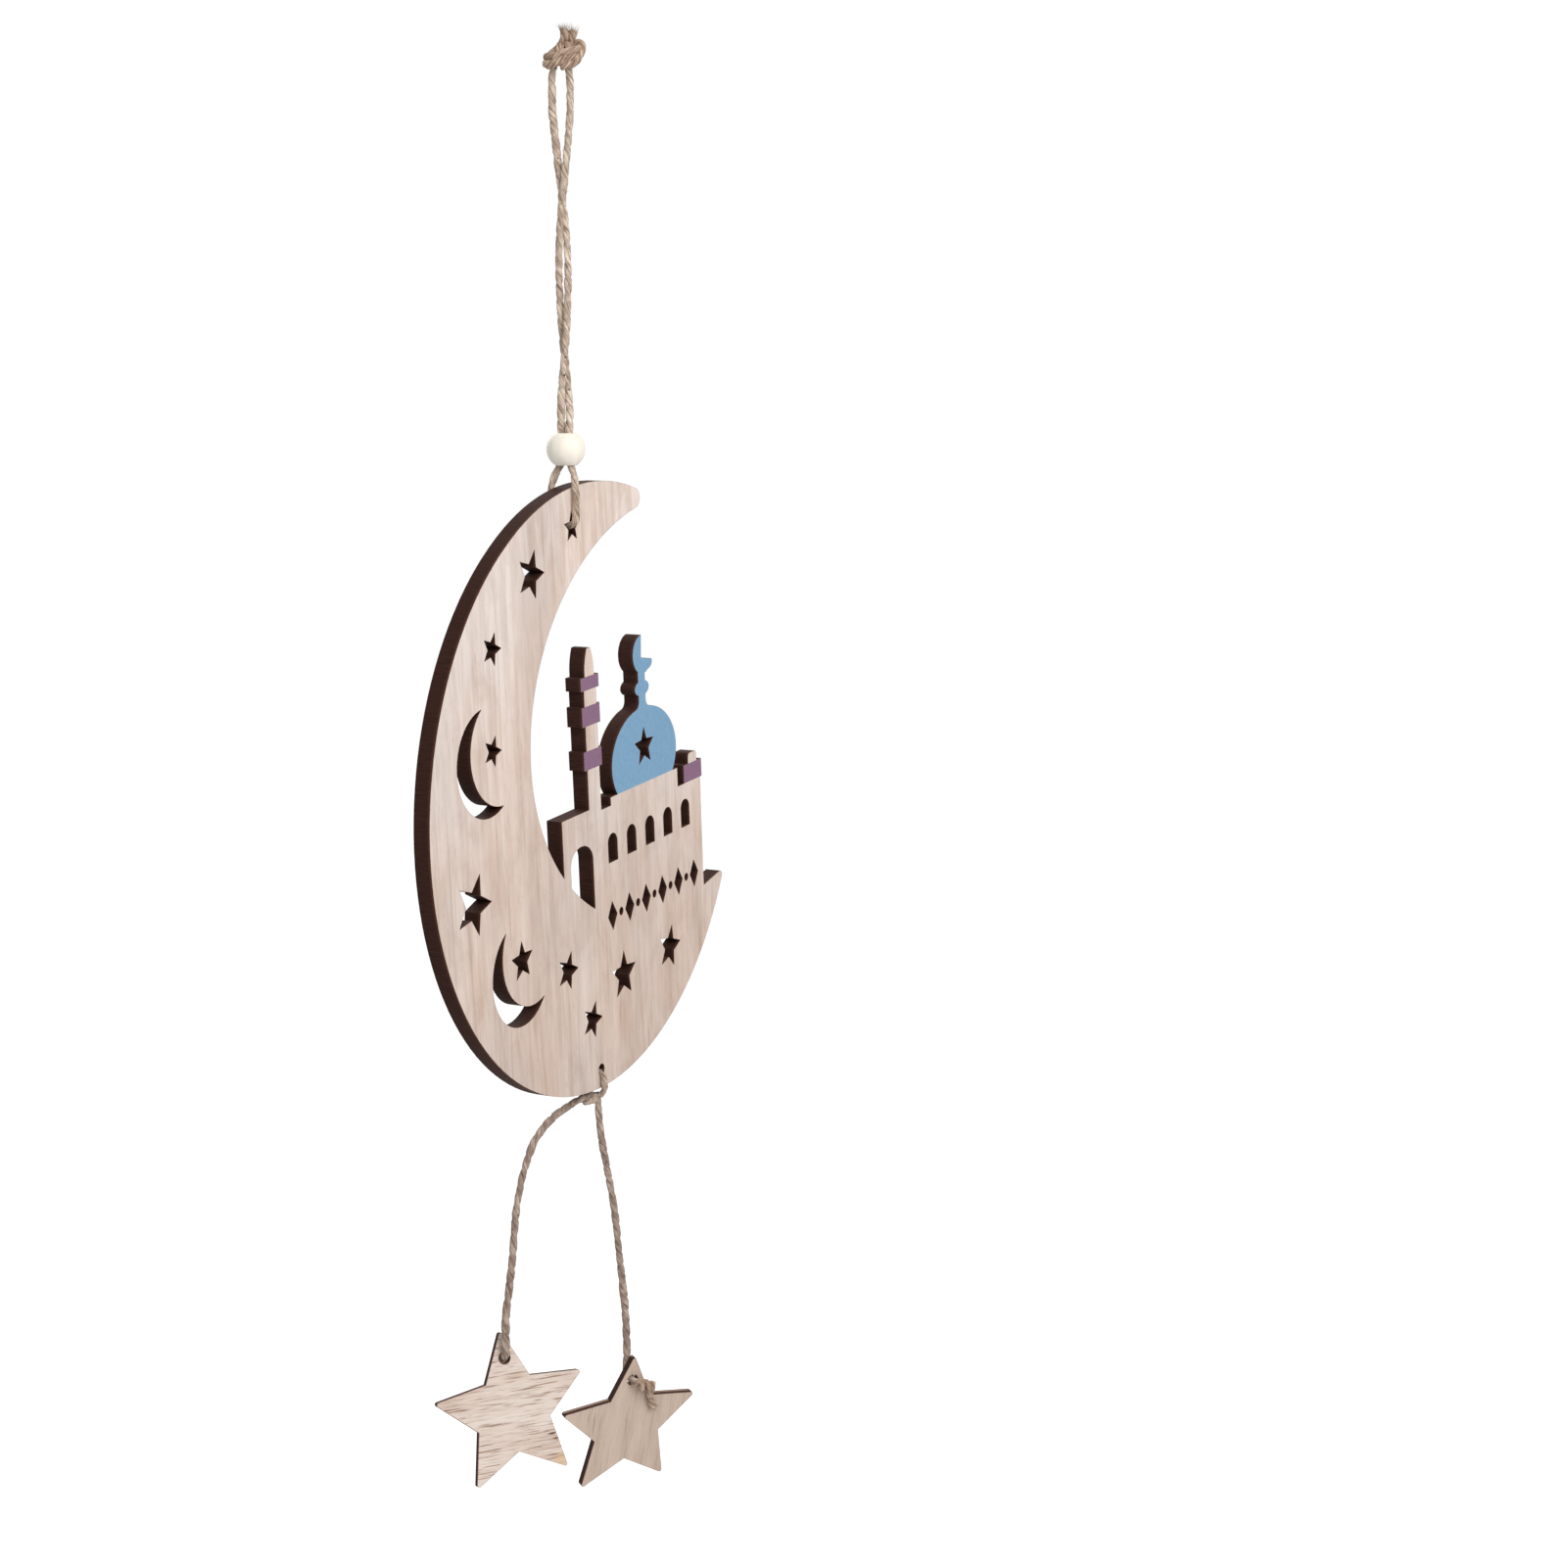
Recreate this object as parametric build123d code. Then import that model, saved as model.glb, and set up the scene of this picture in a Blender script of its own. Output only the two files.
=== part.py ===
from build123d import *
import os
from math import cos, pi, radians, sin, sqrt, tan

# Eid crescent ornament: a pierced crescent board with a mosque in its bay, hung from a knotted jute loop
# with a sliding bead, and two small stars on jute tails below it. Millimetres, +Z up, the board faces -Y.
# The origin is at the top of the hanging loop, under its knot.

# Jute cord
CORD_DIAMETER = 1.9
CORD_CLEARANCE = 0.35
TIGHT_BEND = 1.9

# Board
PANEL_RADIUS = 80.0
PANEL_THICKNESS = 4.5
PANEL_TILT = 3.76
PANEL_SETBACK = 0.8
LEFT_BAND = 47.3
TOP_BAND = 7.7
KEEL_DEPTH = 38.4
BAY_HALF_WIDTH = 72.9
BAY_TURN = 2.8
HORN_LIFT = 1.28
HORN_LIFT_BEARING = 30.0
UPPER_TIP_ROUND = 2.6
LOWER_TIP_ROUND = 1.3
LOWER_TIP_SLOPE = 9.0

# Mosque, with heights above the floor of the bay and places from the bay's left edge
GATE_SETBACK = 13.7
GATE_WIDTH = 14.2
GATE_HEIGHT = 37.7
MINARET_WIDTH = 6.3
MINARET_HEIGHT = 72.6
MINARET_CAP_FOOT = 4.9
MINARET_CAP_WAIST = 4.0
MINARET_CAP_TOP = 1.7
MINARET_CAP_HEIGHT = 7.4
MINARET_CAP_WAIST_RISE = 4.4
MINARET_BAND_WIDTH = 9.3
MINARET_BANDS = [(48.2, 53.2), (59.7, 64.9), (69.1, 72.6)]
SLOT_WIDTH = 5.2
SLOT_FLOOR = 36.3
HALL_WIDTH = 37.7
HALL_HEIGHT = 38.5
BLOCK_WIDTH = 76.8
BLOCK_HEIGHT = 33.2
BLOCK_ROOT = 4.0
TURRET_WIDTH = 5.0
TURRET_HEIGHT = 41.2
TURRET_INSET = 1.8
TURRET_ROUND = 1.0
TURRET_BAND_WIDTH = 10.6
TURRET_BAND_DEPTH = 5.1
DOME_WIDTH = 36.2
DOME_HEIGHT = 27.4
DOME_RISE = 20.7
DOME_SHIFT = 0.6
DOME_STAR_RADIUS = 5.5
DOME_STAR_RISE = 2.8
NECK_WIDTH = 3.8
NECK_HEIGHT = 3.0
NECK_ROUND = 2.2
FINIAL_BALL_WIDTH = 7.8
FINIAL_BALL_HEIGHT = 4.2
FINIAL_NECK_HEIGHT = 1.7
FINIAL_MOON_DIAMETER = 10.6
FINIAL_MOON_SHIFT = 1.0
FINIAL_HORN_WIDTH = 5.2
FINIAL_HORN_HEIGHT = 3.8
FINIAL_HORN_REACH = 2.6
FINIAL_BITE_OFFSET = -0.8
FINIAL_BITE_LEAN = 0.8
FINIAL_BITE_DROP = 2.2
WINDOW_COUNT = 5
WINDOW_WIDTH = 5.1
WINDOW_HEIGHT = 7.7
WINDOW_SILL = 21.1
FIRST_WINDOW = 25.75
LAST_WINDOW_INSET = 9.65
DOOR_WIDTH = 11.6
DOOR_HEIGHT = 29.0
DOOR_ARCH = 4.6
DOOR_INSET = 3.5

# Pierced border under the windows: lozenges with round dots between them
BORDER_COUNT = 6
BORDER_START = 3.6
BORDER_END_INSET = 5.7
BORDER_RISE = 6.6
LOZENGE_WIDTH = 5.0
LOZENGE_HEIGHT = 8.0
DOT_DIAMETER = 2.2

# Pierced stars and crescents: inset from the rim, bearing, radius, turn of the star
STAR_HOLE_WAIST_RATIO = 0.45
PIERCED_STARS = [
    (12.75, 114.7, 6.5, -20.0),
    (13.6, 136.4, 4.35, -22.5),
    (25.7, 157.3, 4.15, -23.5),
    (16.0, 193.4, 8.1, -24.0),
    (26.0, 219.8, 5.3, 0.0),
    (32.4, 246.0, 5.3, -23.0),
    (19.3, 262.5, 5.2, -23.0),
    (26.4, 280.5, 6.7, -3.0),
    (16.5, 304.7, 6.3, -16.0),
]
MOON_OUTER_RADIUS = 13.65
MOON_INNER_RADIUS = 14.0
MOON_SHIFT = 6.97
PIERCED_MOONS = [(23.9, 160.6, 17.2), (23.5, 221.7, 38.7)]
HANG_HOLE_RADIUS = 4.0
HANG_HOLE_INSET = 9.34
HANG_HOLE_BEARING = 95.77
HANG_HOLE_CLEARANCE = 0.6
TAIL_HOLE_DIAMETER = 3.2
TAIL_HOLE_INSET = 4.86
TAIL_HOLE_BEARING = 266.5

# Hanging loop and bead
SEAT_DROP = 111.95
BEAD_DROP = 92.3
BEAD_DIAMETER = 9.8
BEAD_BORE_CLEARANCE = 0.32
BEAD_BORE_ROUND = 0.3
LEG_GAP = 0.3
CORD_SPLIT = 0.35
BIGHT_SPLAY = 4.9
BIGHT_SHOULDER = 11.55
BIGHT_BEND = 3.5
# The two legs wind once round each other: drop, bearing of the first leg, room added to their gap
LEG_STATIONS = [
    (0.0, 285.0, 1.15),
    (4.0, 285.0, 1.15),
    (9.0, 288.0, 1.2),
    (14.5, 284.0, 0.7),
    (20.5, 270.0, 0.2),
    (27.0, 235.0, 0.0),
    (33.0, 197.0, 0.0),
    (39.5, 157.0, 0.0),
    (46.0, 125.0, 0.05),
    (53.0, 99.0, 0.05),
    (60.0, 73.0, 0.0),
    (67.0, 40.0, 0.0),
    (74.0, 0.0, 0.0),
    (80.5, -42.0, 0.0),
    (86.0, -78.0, 0.0),
    (89.2, -90.0, 0.0),
]
TOP_KNOT_DIAMETER = 6.4
TOP_KNOT_HEIGHT = 6.6
TOP_KNOT_ROUND = 1.3
TOP_KNOT_WRAP = 3.2
TOP_KNOT_WRAP_REACH = 4.5
TOP_KNOT_WRAP_RISE = 3.6
TOP_KNOT_TILT = 14.0
CUT_END_RISE = 11.2
CUT_END_SPREAD = 2.2

# Tails: the knot under the rim, then each tail's route from that knot
HITCH_KNOT_DIAMETER = 4.4
HITCH_GAP = 0.3
HITCH_CORNER = 1.0
TAIL_START = 0.3
LEFT_TAIL_ROUTE = [
    (-11.4, 0.7, 0.4),
    (-20.0, 1.3, -0.9),
    (-27.0, 2.0, -4.1),
    (-30.8, 2.8, -9.9),
    (-33.4, 3.5, -16.8),
    (-34.8, 4.1, -24.5),
    (-35.2, 4.6, -33.6),
    (-37.0, 5.0, -43.8),
    (-38.4, 5.2, -49.3),
    (-38.5, 5.25, -53.2),
]
RIGHT_TAIL_ROUTE = [
    (0.9, -0.9, -7.4),
    (1.9, -1.4, -15.5),
    (4.3, -2.0, -25.0),
    (6.2, -2.6, -35.3),
    (6.9, -3.1, -45.6),
    (8.3, -3.6, -56.4),
    (8.8, -4.1, -66.6),
    (8.8, -4.2, -72.9),
]

# Stars
STAR_RADIUS = 21.5
STAR_WAIST_RATIO = 0.48
STAR_THICKNESS = 2.0
STAR_TIP_ROUND = 0.6
STAR_HOLE_DIAMETER = 3.2
STAR_HOLE_RISE = 14.1
STAR_TIP_GAP = 0.1
STAR_KNOT_DIAMETER = 4.2
STAR_KNOT_WRAP = 1.9
STAR_KNOT_WRAP_REACH = 2.65
STAR_KNOT_WRAP_TILT = 15.0
STAR_KNOT_END = 5.0
# Each stopper knot beside its hole, and the way its cut end points, in the star's own frame
LEFT_KNOT_SHIFT = (0.6, -0.8)
LEFT_KNOT_END = (-0.2, -1.0, -0.3)
RIGHT_KNOT_SHIFT = (2.6, -1.6)
RIGHT_KNOT_END = (0.1, -0.9, 0.35)
# Turn about the vertical, lean and roll of each star
LEFT_STAR_POSE = (-39.5, -13.9, 3.7)
RIGHT_STAR_POSE = (-34.3, 9.5, -2.0)

cord_radius = CORD_DIAMETER / 2
leg_spread = cord_radius + LEG_GAP / 2
bore_diameter = 2 * (leg_spread + cord_radius + BEAD_BORE_CLEARANCE)
cord_stand_off = PANEL_THICKNESS / 2 + CORD_CLEARANCE + cord_radius
bay_left = LEFT_BAND - PANEL_RADIUS
bay_floor = KEEL_DEPTH - PANEL_RADIUS
bay_half_height = (2 * PANEL_RADIUS - TOP_BAND - KEEL_DEPTH) / 2
bay_centre = (bay_left + BAY_HALF_WIDTH, (KEEL_DEPTH - TOP_BAND) / 2)
hall_left = bay_left + GATE_SETBACK + GATE_WIDTH + MINARET_WIDTH + SLOT_WIDTH
window_pitch = (BLOCK_WIDTH - FIRST_WINDOW - LAST_WINDOW_INSET) / (WINDOW_COUNT - 1)
border_start = GATE_WIDTH + MINARET_WIDTH + BORDER_START
border_pitch = (BLOCK_WIDTH - border_start - BORDER_END_INSET) / (BORDER_COUNT - 1)


def polar(inset, bearing):
    """A point of the board's face, by its distance in from the rim and its bearing."""
    reach = PANEL_RADIUS - inset
    return reach * cos(radians(bearing)), reach * sin(radians(bearing))


def star_face(radius, waist):
    corners = []
    for i in range(10):
        reach = radius if i % 2 == 0 else radius * waist
        angle = pi / 2 + i * pi / 5
        corners.append((reach * cos(angle), reach * sin(angle)))
    return make_face(Polyline(*corners, close=True))


def block(left, width, low, high):
    """A rectangle of the mosque's outline, from the bay's left edge and floor."""
    centre = (bay_left + left + width / 2, bay_floor + (low + high) / 2)
    return Pos(*centre) * Rectangle(width, high - low)


def arch(centre, width, low, high, head):
    """An opening with a rounded head of the given height."""
    straight = Pos(centre, bay_floor + (low + high - head) / 2) * Rectangle(width, high - low - head)
    return straight + Pos(centre, bay_floor + high - head) * Ellipse(width / 2, head)


def crescent():
    bay = Pos(*bay_centre) * Rot(0, 0, BAY_TURN) * Ellipse(BAY_HALF_WIDTH, bay_half_height)
    lift = (HORN_LIFT * cos(radians(HORN_LIFT_BEARING)), HORN_LIFT * sin(radians(HORN_LIFT_BEARING)))
    upper = Rectangle(2 * PANEL_RADIUS, PANEL_RADIUS, align=(Align.CENTER, Align.MIN))
    horn = (Pos(*lift) * Circle(PANEL_RADIUS)) & (Pos(0, PANEL_RADIUS / 2) * upper)
    outline = Circle(PANEL_RADIUS) + horn - bay
    wall = bay_left + GATE_SETBACK + BLOCK_WIDTH - bay_centre[0]
    across = wall / BAY_HALF_WIDTH
    foot = (bay_centre[0] + wall, bay_centre[1] - bay_half_height * sqrt(1 - across**2))
    beyond = Rectangle(PANEL_RADIUS, KEEL_DEPTH, align=(Align.MIN, Align.MIN))
    outline -= Pos(*foot) * Rot(0, 0, LOWER_TIP_SLOPE) * beyond
    outline = fillet(outline.vertices().sort_by(Axis.Y)[-1], UPPER_TIP_ROUND)
    return fillet(outline.vertices().sort_by(Axis.X)[-1], LOWER_TIP_ROUND)


def minaret():
    left = GATE_SETBACK + GATE_WIDTH
    centre = bay_left + left + MINARET_WIDTH / 2
    foot = bay_floor + MINARET_HEIGHT
    waist = foot + MINARET_CAP_WAIST_RISE
    top = foot + MINARET_CAP_HEIGHT
    edges = [Line((centre - MINARET_CAP_FOOT / 2, foot), (centre + MINARET_CAP_FOOT / 2, foot))]
    edges += [Line((centre - MINARET_CAP_TOP / 2, top), (centre + MINARET_CAP_TOP / 2, top))]
    for side in (-0.5, 0.5):
        low = (centre + side * MINARET_CAP_FOOT, foot)
        middle = (centre + side * MINARET_CAP_WAIST, waist)
        high = (centre + side * MINARET_CAP_TOP, top)
        edges.append(ThreePointArc(low, middle, high))
    tower = block(left, MINARET_WIDTH, 0, MINARET_HEIGHT) + make_face(Curve() + edges)
    for low, high in MINARET_BANDS:
        tower += block(left + (MINARET_WIDTH - MINARET_BAND_WIDTH) / 2, MINARET_BAND_WIDTH, low, high)
    return tower


def dome():
    centre = hall_left + HALL_WIDTH / 2 + DOME_SHIFT
    middle = bay_floor + HALL_HEIGHT + DOME_RISE - DOME_HEIGHT / 2
    crown = bay_floor + HALL_HEIGHT + DOME_RISE
    shape = Pos(centre, middle) * Ellipse(DOME_WIDTH / 2, DOME_HEIGHT / 2)
    ball = crown + NECK_HEIGHT + FINIAL_BALL_HEIGHT / 2
    moon = ball + FINIAL_BALL_HEIGHT / 2 + FINIAL_NECK_HEIGHT + FINIAL_MOON_DIAMETER / 2
    stem = moon - FINIAL_MOON_DIAMETER / 4 - middle
    shape += Pos(centre, middle + stem / 2) * Rectangle(NECK_WIDTH, stem)
    neck_foot = shape.vertices().filter_by(lambda v: abs(v.X - centre) < NECK_WIDTH and v.Y < ball)
    shape = fillet(neck_foot, NECK_ROUND)
    shape += Pos(centre, ball) * Ellipse(FINIAL_BALL_WIDTH / 2, FINIAL_BALL_HEIGHT / 2)
    disc = Pos(centre + FINIAL_MOON_SHIFT, moon) * Circle(FINIAL_MOON_DIAMETER / 2)
    blunt = Ellipse(FINIAL_HORN_WIDTH / 2, FINIAL_HORN_HEIGHT / 2)
    disc += Pos(centre + FINIAL_MOON_SHIFT + FINIAL_HORN_REACH, moon - FINIAL_HORN_REACH) * blunt
    corner = (centre + FINIAL_MOON_SHIFT + FINIAL_BITE_OFFSET, moon + FINIAL_BITE_OFFSET)
    reach = FINIAL_MOON_DIAMETER
    bite = Polyline(
        corner,
        (corner[0] + FINIAL_BITE_LEAN, corner[1] + reach),
        (corner[0] + reach, corner[1] + reach),
        (corner[0] + reach, corner[1] - FINIAL_BITE_DROP),
        close=True,
    )
    shape += disc - make_face(bite)
    star = Pos(centre, middle + DOME_STAR_RISE) * star_face(DOME_STAR_RADIUS, STAR_HOLE_WAIST_RATIO)
    return shape, star


def turret():
    right = GATE_SETBACK + BLOCK_WIDTH
    left = right - TURRET_INSET - TURRET_WIDTH
    tower = block(left, TURRET_WIDTH, BLOCK_HEIGHT - TURRET_BAND_DEPTH, TURRET_HEIGHT)
    tower = fillet(tower.vertices().group_by(Axis.Y)[-1], TURRET_ROUND)
    band = left + (TURRET_WIDTH - TURRET_BAND_WIDTH) / 2
    return tower + block(band, TURRET_BAND_WIDTH, BLOCK_HEIGHT, BLOCK_HEIGHT + TURRET_BAND_DEPTH)


def mosque():
    hall = GATE_SETBACK + GATE_WIDTH + MINARET_WIDTH
    shape = block(GATE_SETBACK, BLOCK_WIDTH, -BLOCK_ROOT, BLOCK_HEIGHT)
    shape += block(GATE_SETBACK, GATE_WIDTH, 0, GATE_HEIGHT)
    shape += block(hall, SLOT_WIDTH, 0, SLOT_FLOOR)
    shape += block(hall + SLOT_WIDTH, HALL_WIDTH, 0, HALL_HEIGHT)
    shape += minaret() + turret()
    dome_shape, dome_star = dome()
    shape = shape + dome_shape - dome_star
    door = bay_left + GATE_SETBACK + DOOR_INSET + DOOR_WIDTH / 2
    shape -= arch(door, DOOR_WIDTH, -BLOCK_ROOT, DOOR_HEIGHT, DOOR_ARCH)
    for i in range(WINDOW_COUNT):
        centre = bay_left + GATE_SETBACK + FIRST_WINDOW + i * window_pitch
        shape -= arch(centre, WINDOW_WIDTH, WINDOW_SILL, WINDOW_SILL + WINDOW_HEIGHT, WINDOW_WIDTH / 2)
    return shape


def border():
    """A row of pierced lozenges with dots between them."""
    left = bay_left + GATE_SETBACK + border_start
    row = Sketch()
    for i in range(BORDER_COUNT):
        place = Pos(left + i * border_pitch, bay_floor + BORDER_RISE)
        half = (LOZENGE_WIDTH / 2, LOZENGE_HEIGHT / 2)
        corners = [(half[0], 0), (0, half[1]), (-half[0], 0), (0, -half[1])]
        row += place * make_face(Polyline(*corners, close=True))
        if i < BORDER_COUNT - 1:
            row += place * Pos(border_pitch / 2, 0) * Circle(DOT_DIAMETER / 2)
    return row


def pierced_moon():
    return Circle(MOON_OUTER_RADIUS) - Pos(MOON_SHIFT, 0) * Circle(MOON_INNER_RADIUS)


def hang_seat():
    """Where the hanging cord lies in the star hole: as high between the sides of its top arm as it fits."""
    waist_half = HANG_HOLE_RADIUS * STAR_HOLE_WAIST_RATIO * sin(pi / 5)
    waist_rise = HANG_HOLE_RADIUS * STAR_HOLE_WAIST_RATIO * cos(pi / 5)
    arm = HANG_HOLE_RADIUS - waist_rise
    side = waist_half / sqrt(waist_half**2 + arm**2)
    u, v = polar(HANG_HOLE_INSET, HANG_HOLE_BEARING)
    return u, v + HANG_HOLE_RADIUS - (cord_radius + HANG_HOLE_CLEARANCE) / side


def board_place():
    """The board stands with its cord seat under the loop, tilted as it hangs."""
    seat_u, seat_v = hang_seat()
    seat = Pos(0, PANEL_SETBACK, -SEAT_DROP)
    return seat * Rot(90, 0, 0) * Rot(0, 0, PANEL_TILT) * Pos(-seat_u, -seat_v)


def board_point(u, v, depth=0.0):
    """A point of the board in the ornament's frame, depth behind its middle."""
    return (board_place() * Pos(u, v, -depth)).position


def crescent_panel():
    face = crescent() + mosque()
    for inset, bearing, radius, turn in PIERCED_STARS:
        face -= Pos(*polar(inset, bearing)) * Rot(0, 0, turn) * star_face(radius, STAR_HOLE_WAIST_RATIO)
    for inset, bearing, turn in PIERCED_MOONS:
        face -= Pos(*polar(inset, bearing)) * Rot(0, 0, turn) * pierced_moon()
    hang_hole = polar(HANG_HOLE_INSET, HANG_HOLE_BEARING)
    face -= Pos(*hang_hole) * star_face(HANG_HOLE_RADIUS, STAR_HOLE_WAIST_RATIO)
    face -= Pos(*polar(TAIL_HOLE_INSET, TAIL_HOLE_BEARING)) * Circle(TAIL_HOLE_DIAMETER / 2)
    face -= border()
    return board_place() * extrude(face, PANEL_THICKNESS / 2, both=True)


def cord_tube(name, route, bends=None):
    """A cord along straight runs and tangent arcs; bends caps the radius at corners round an edge."""
    points = [Vector(*p) for p in route]
    radii = []
    for i in range(1, len(points) - 1):
        before = points[i] - points[i - 1]
        after = points[i + 1] - points[i]
        turn = radians(before.get_angle(after))
        largest = 0.45 * min(before.length, after.length) / tan(turn / 2)
        cap = bends.get(i, largest) if bends else largest
        radii.append(min(cap, largest))
    path = FilletPolyline(*points, radius=radii)
    section = Plane(path @ 0, z_dir=path % 0) * Circle(cord_radius)
    tube = sweep(section, path=path)
    expected = pi * cord_radius**2 * path.length
    print(f"{name}: length {path.length:.1f}, volume {tube.volume:.2f} of {expected:.2f}, radii",
          [round(r, 1) for r in radii])
    return tube


def hanging_cord():
    legs = []
    for number, turn in enumerate((0, 180)):
        route = []
        for drop, bearing, room in LEG_STATIONS:
            angle = radians(bearing + turn)
            spread = leg_spread + room
            route.append((spread * cos(angle), spread * sin(angle), -drop))
        route.append((route[-1][0], route[-1][1], -BEAD_DROP + CORD_SPLIT / 2))
        legs.append(cord_tube(f"hanging leg {number + 1}", route))
    return legs


def top_knot():
    core = Pos(0, 0, TOP_KNOT_HEIGHT / 2) * Cylinder(TOP_KNOT_DIAMETER / 2, TOP_KNOT_HEIGHT)
    core = fillet(core.edges().group_by(Axis.Z)[-1], TOP_KNOT_ROUND)
    wrap = Torus(TOP_KNOT_WRAP_REACH - TOP_KNOT_WRAP / 2, TOP_KNOT_WRAP / 2)
    knot = core + Pos(0, 0, TOP_KNOT_WRAP_RISE) * Rot(TOP_KNOT_TILT, 0, 0) * wrap
    middle = (CUT_END_RISE + TOP_KNOT_HEIGHT / 2) / 2
    end = Cylinder(cord_radius, CUT_END_RISE - TOP_KNOT_HEIGHT / 2)
    for side in (-0.5, 0.5):
        knot += Pos(0, side * CUT_END_SPREAD, middle) * end
    return knot


def cord_bight():
    """The hanging cord below its split: out of the bead, astride the board and through the star hole."""
    front = PANEL_SETBACK - cord_stand_off
    back = PANEL_SETBACK + cord_stand_off
    start = -BEAD_DROP - CORD_SPLIT / 2
    splay = -BEAD_DROP - BIGHT_SPLAY
    shoulder = -SEAT_DROP + BIGHT_SHOULDER
    route = [
        (0, -leg_spread, start),
        (0, -leg_spread, splay),
        (0, front, shoulder),
        (0, front, -SEAT_DROP),
        (0, back, -SEAT_DROP),
        (0, back, shoulder),
        (0, leg_spread, splay),
        (0, leg_spread, start),
    ]
    bends = {corner: BIGHT_BEND for corner in (1, 2, 5, 6)}
    bends |= {corner: TIGHT_BEND for corner in (3, 4)}
    return cord_tube("bight", route, bends)


def bead():
    ball = Sphere(BEAD_DIAMETER / 2) - Cylinder(bore_diameter / 2, BEAD_DIAMETER)
    rims = ball.edges().filter_by(GeomType.CIRCLE)
    rims = rims.filter_by(lambda edge: abs(edge.radius - bore_diameter / 2) < 0.01)
    return Pos(0, 0, -BEAD_DROP) * fillet(rims, BEAD_BORE_ROUND)


def hitch_knot_centre():
    """The tails' knot hangs just under the rim, below the tail hole."""
    u, v = polar(0, TAIL_HOLE_BEARING)
    return board_point(u, v) - Vector(0, 0, HITCH_GAP + HITCH_KNOT_DIAMETER / 2)


def tail_hitch():
    hole = board_point(*polar(TAIL_HOLE_INSET, TAIL_HOLE_BEARING))
    knot = hitch_knot_centre()
    high = hole.Z - (TAIL_HOLE_DIAMETER / 2 - cord_radius - CORD_CLEARANCE)
    low = knot.Z + HITCH_CORNER
    front = PANEL_SETBACK - cord_stand_off
    back = PANEL_SETBACK + cord_stand_off
    inside = cord_radius
    route = [
        (knot.X, PANEL_SETBACK - inside, knot.Z),
        (knot.X, front, low),
        (hole.X, front, high),
        (hole.X, back, high),
        (knot.X, back, low),
        (knot.X, PANEL_SETBACK + inside, knot.Z),
    ]
    loop = cord_tube("tail hitch", route, {corner: TIGHT_BEND for corner in (1, 2, 3, 4)})
    return loop + Pos(knot) * Sphere(HITCH_KNOT_DIAMETER / 2)


def tail_route(offsets):
    """A tail's points, from just outside the hitch's knot."""
    knot = hitch_knot_centre()
    first = Vector(*offsets[0])
    start = knot + first.normalized() * (HITCH_KNOT_DIAMETER / 2 + TAIL_START)
    return [start] + [knot + Vector(*offset) for offset in offsets]


def star_place(offsets, pose, side):
    """A star's frame at its hole, with its front along +Z, hung from the end of its tail."""
    turn, lean, roll = pose
    facing = Rot(0, 0, turn) * Rot(lean, 0, 0) * Rot(90, 0, 0) * Rot(0, 0, roll)
    normal = (facing * Pos(0, 0, 1)).position
    stand_off = STAR_THICKNESS / 2 + CORD_CLEARANCE + cord_radius
    lead = STAR_RADIUS - STAR_HOLE_RISE + STAR_TIP_GAP
    end = hitch_knot_centre() + Vector(*offsets[-1])
    corner = end - Vector(0, 0, CORD_SPLIT + lead)
    hole = corner - normal * (side * stand_off)
    return Pos(hole) * facing, end, corner


def tail_star():
    """A star with rounded tips, its origin at its hole."""
    face = star_face(STAR_RADIUS, STAR_WAIST_RATIO)
    tips = face.vertices().filter_by(lambda v: Vector(v).length > STAR_RADIUS * 0.9)
    face = Pos(0, -STAR_HOLE_RISE) * fillet(tips, STAR_TIP_ROUND)
    face -= Circle(STAR_HOLE_DIAMETER / 2)
    return extrude(face, STAR_THICKNESS / 2, both=True)


def star_knot(name, offsets, pose, side, shift, end_way):
    """The tail's last stretch: down past the tip, through the star and into a stopper knot."""
    place, end, corner = star_place(offsets, pose, side)
    face_gap = STAR_THICKNESS / 2 + CORD_CLEARANCE
    out = (place * Pos(0, 0, -side * (face_gap + cord_radius))).position
    stopper_place = place * Pos(*shift, -side * (face_gap + STAR_KNOT_DIAMETER / 2))
    stopper = stopper_place.position
    route = [end - Vector(0, 0, CORD_SPLIT), corner, out, stopper]
    lead = cord_tube(name, route, {1: TIGHT_BEND, 2: TIGHT_BEND})
    ring = Torus(STAR_KNOT_WRAP_REACH - STAR_KNOT_WRAP / 2, STAR_KNOT_WRAP / 2)
    knot = Sphere(STAR_KNOT_DIAMETER / 2) + Rot(0, STAR_KNOT_WRAP_TILT, 0) * ring
    cut_end = Pos(0, 0, STAR_KNOT_END / 2) * Cylinder(cord_radius, STAR_KNOT_END)
    cut_end = Plane((0, 0, 0), z_dir=Vector(*end_way)) * cut_end
    return lead + stopper_place * (knot + cut_end)


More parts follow.
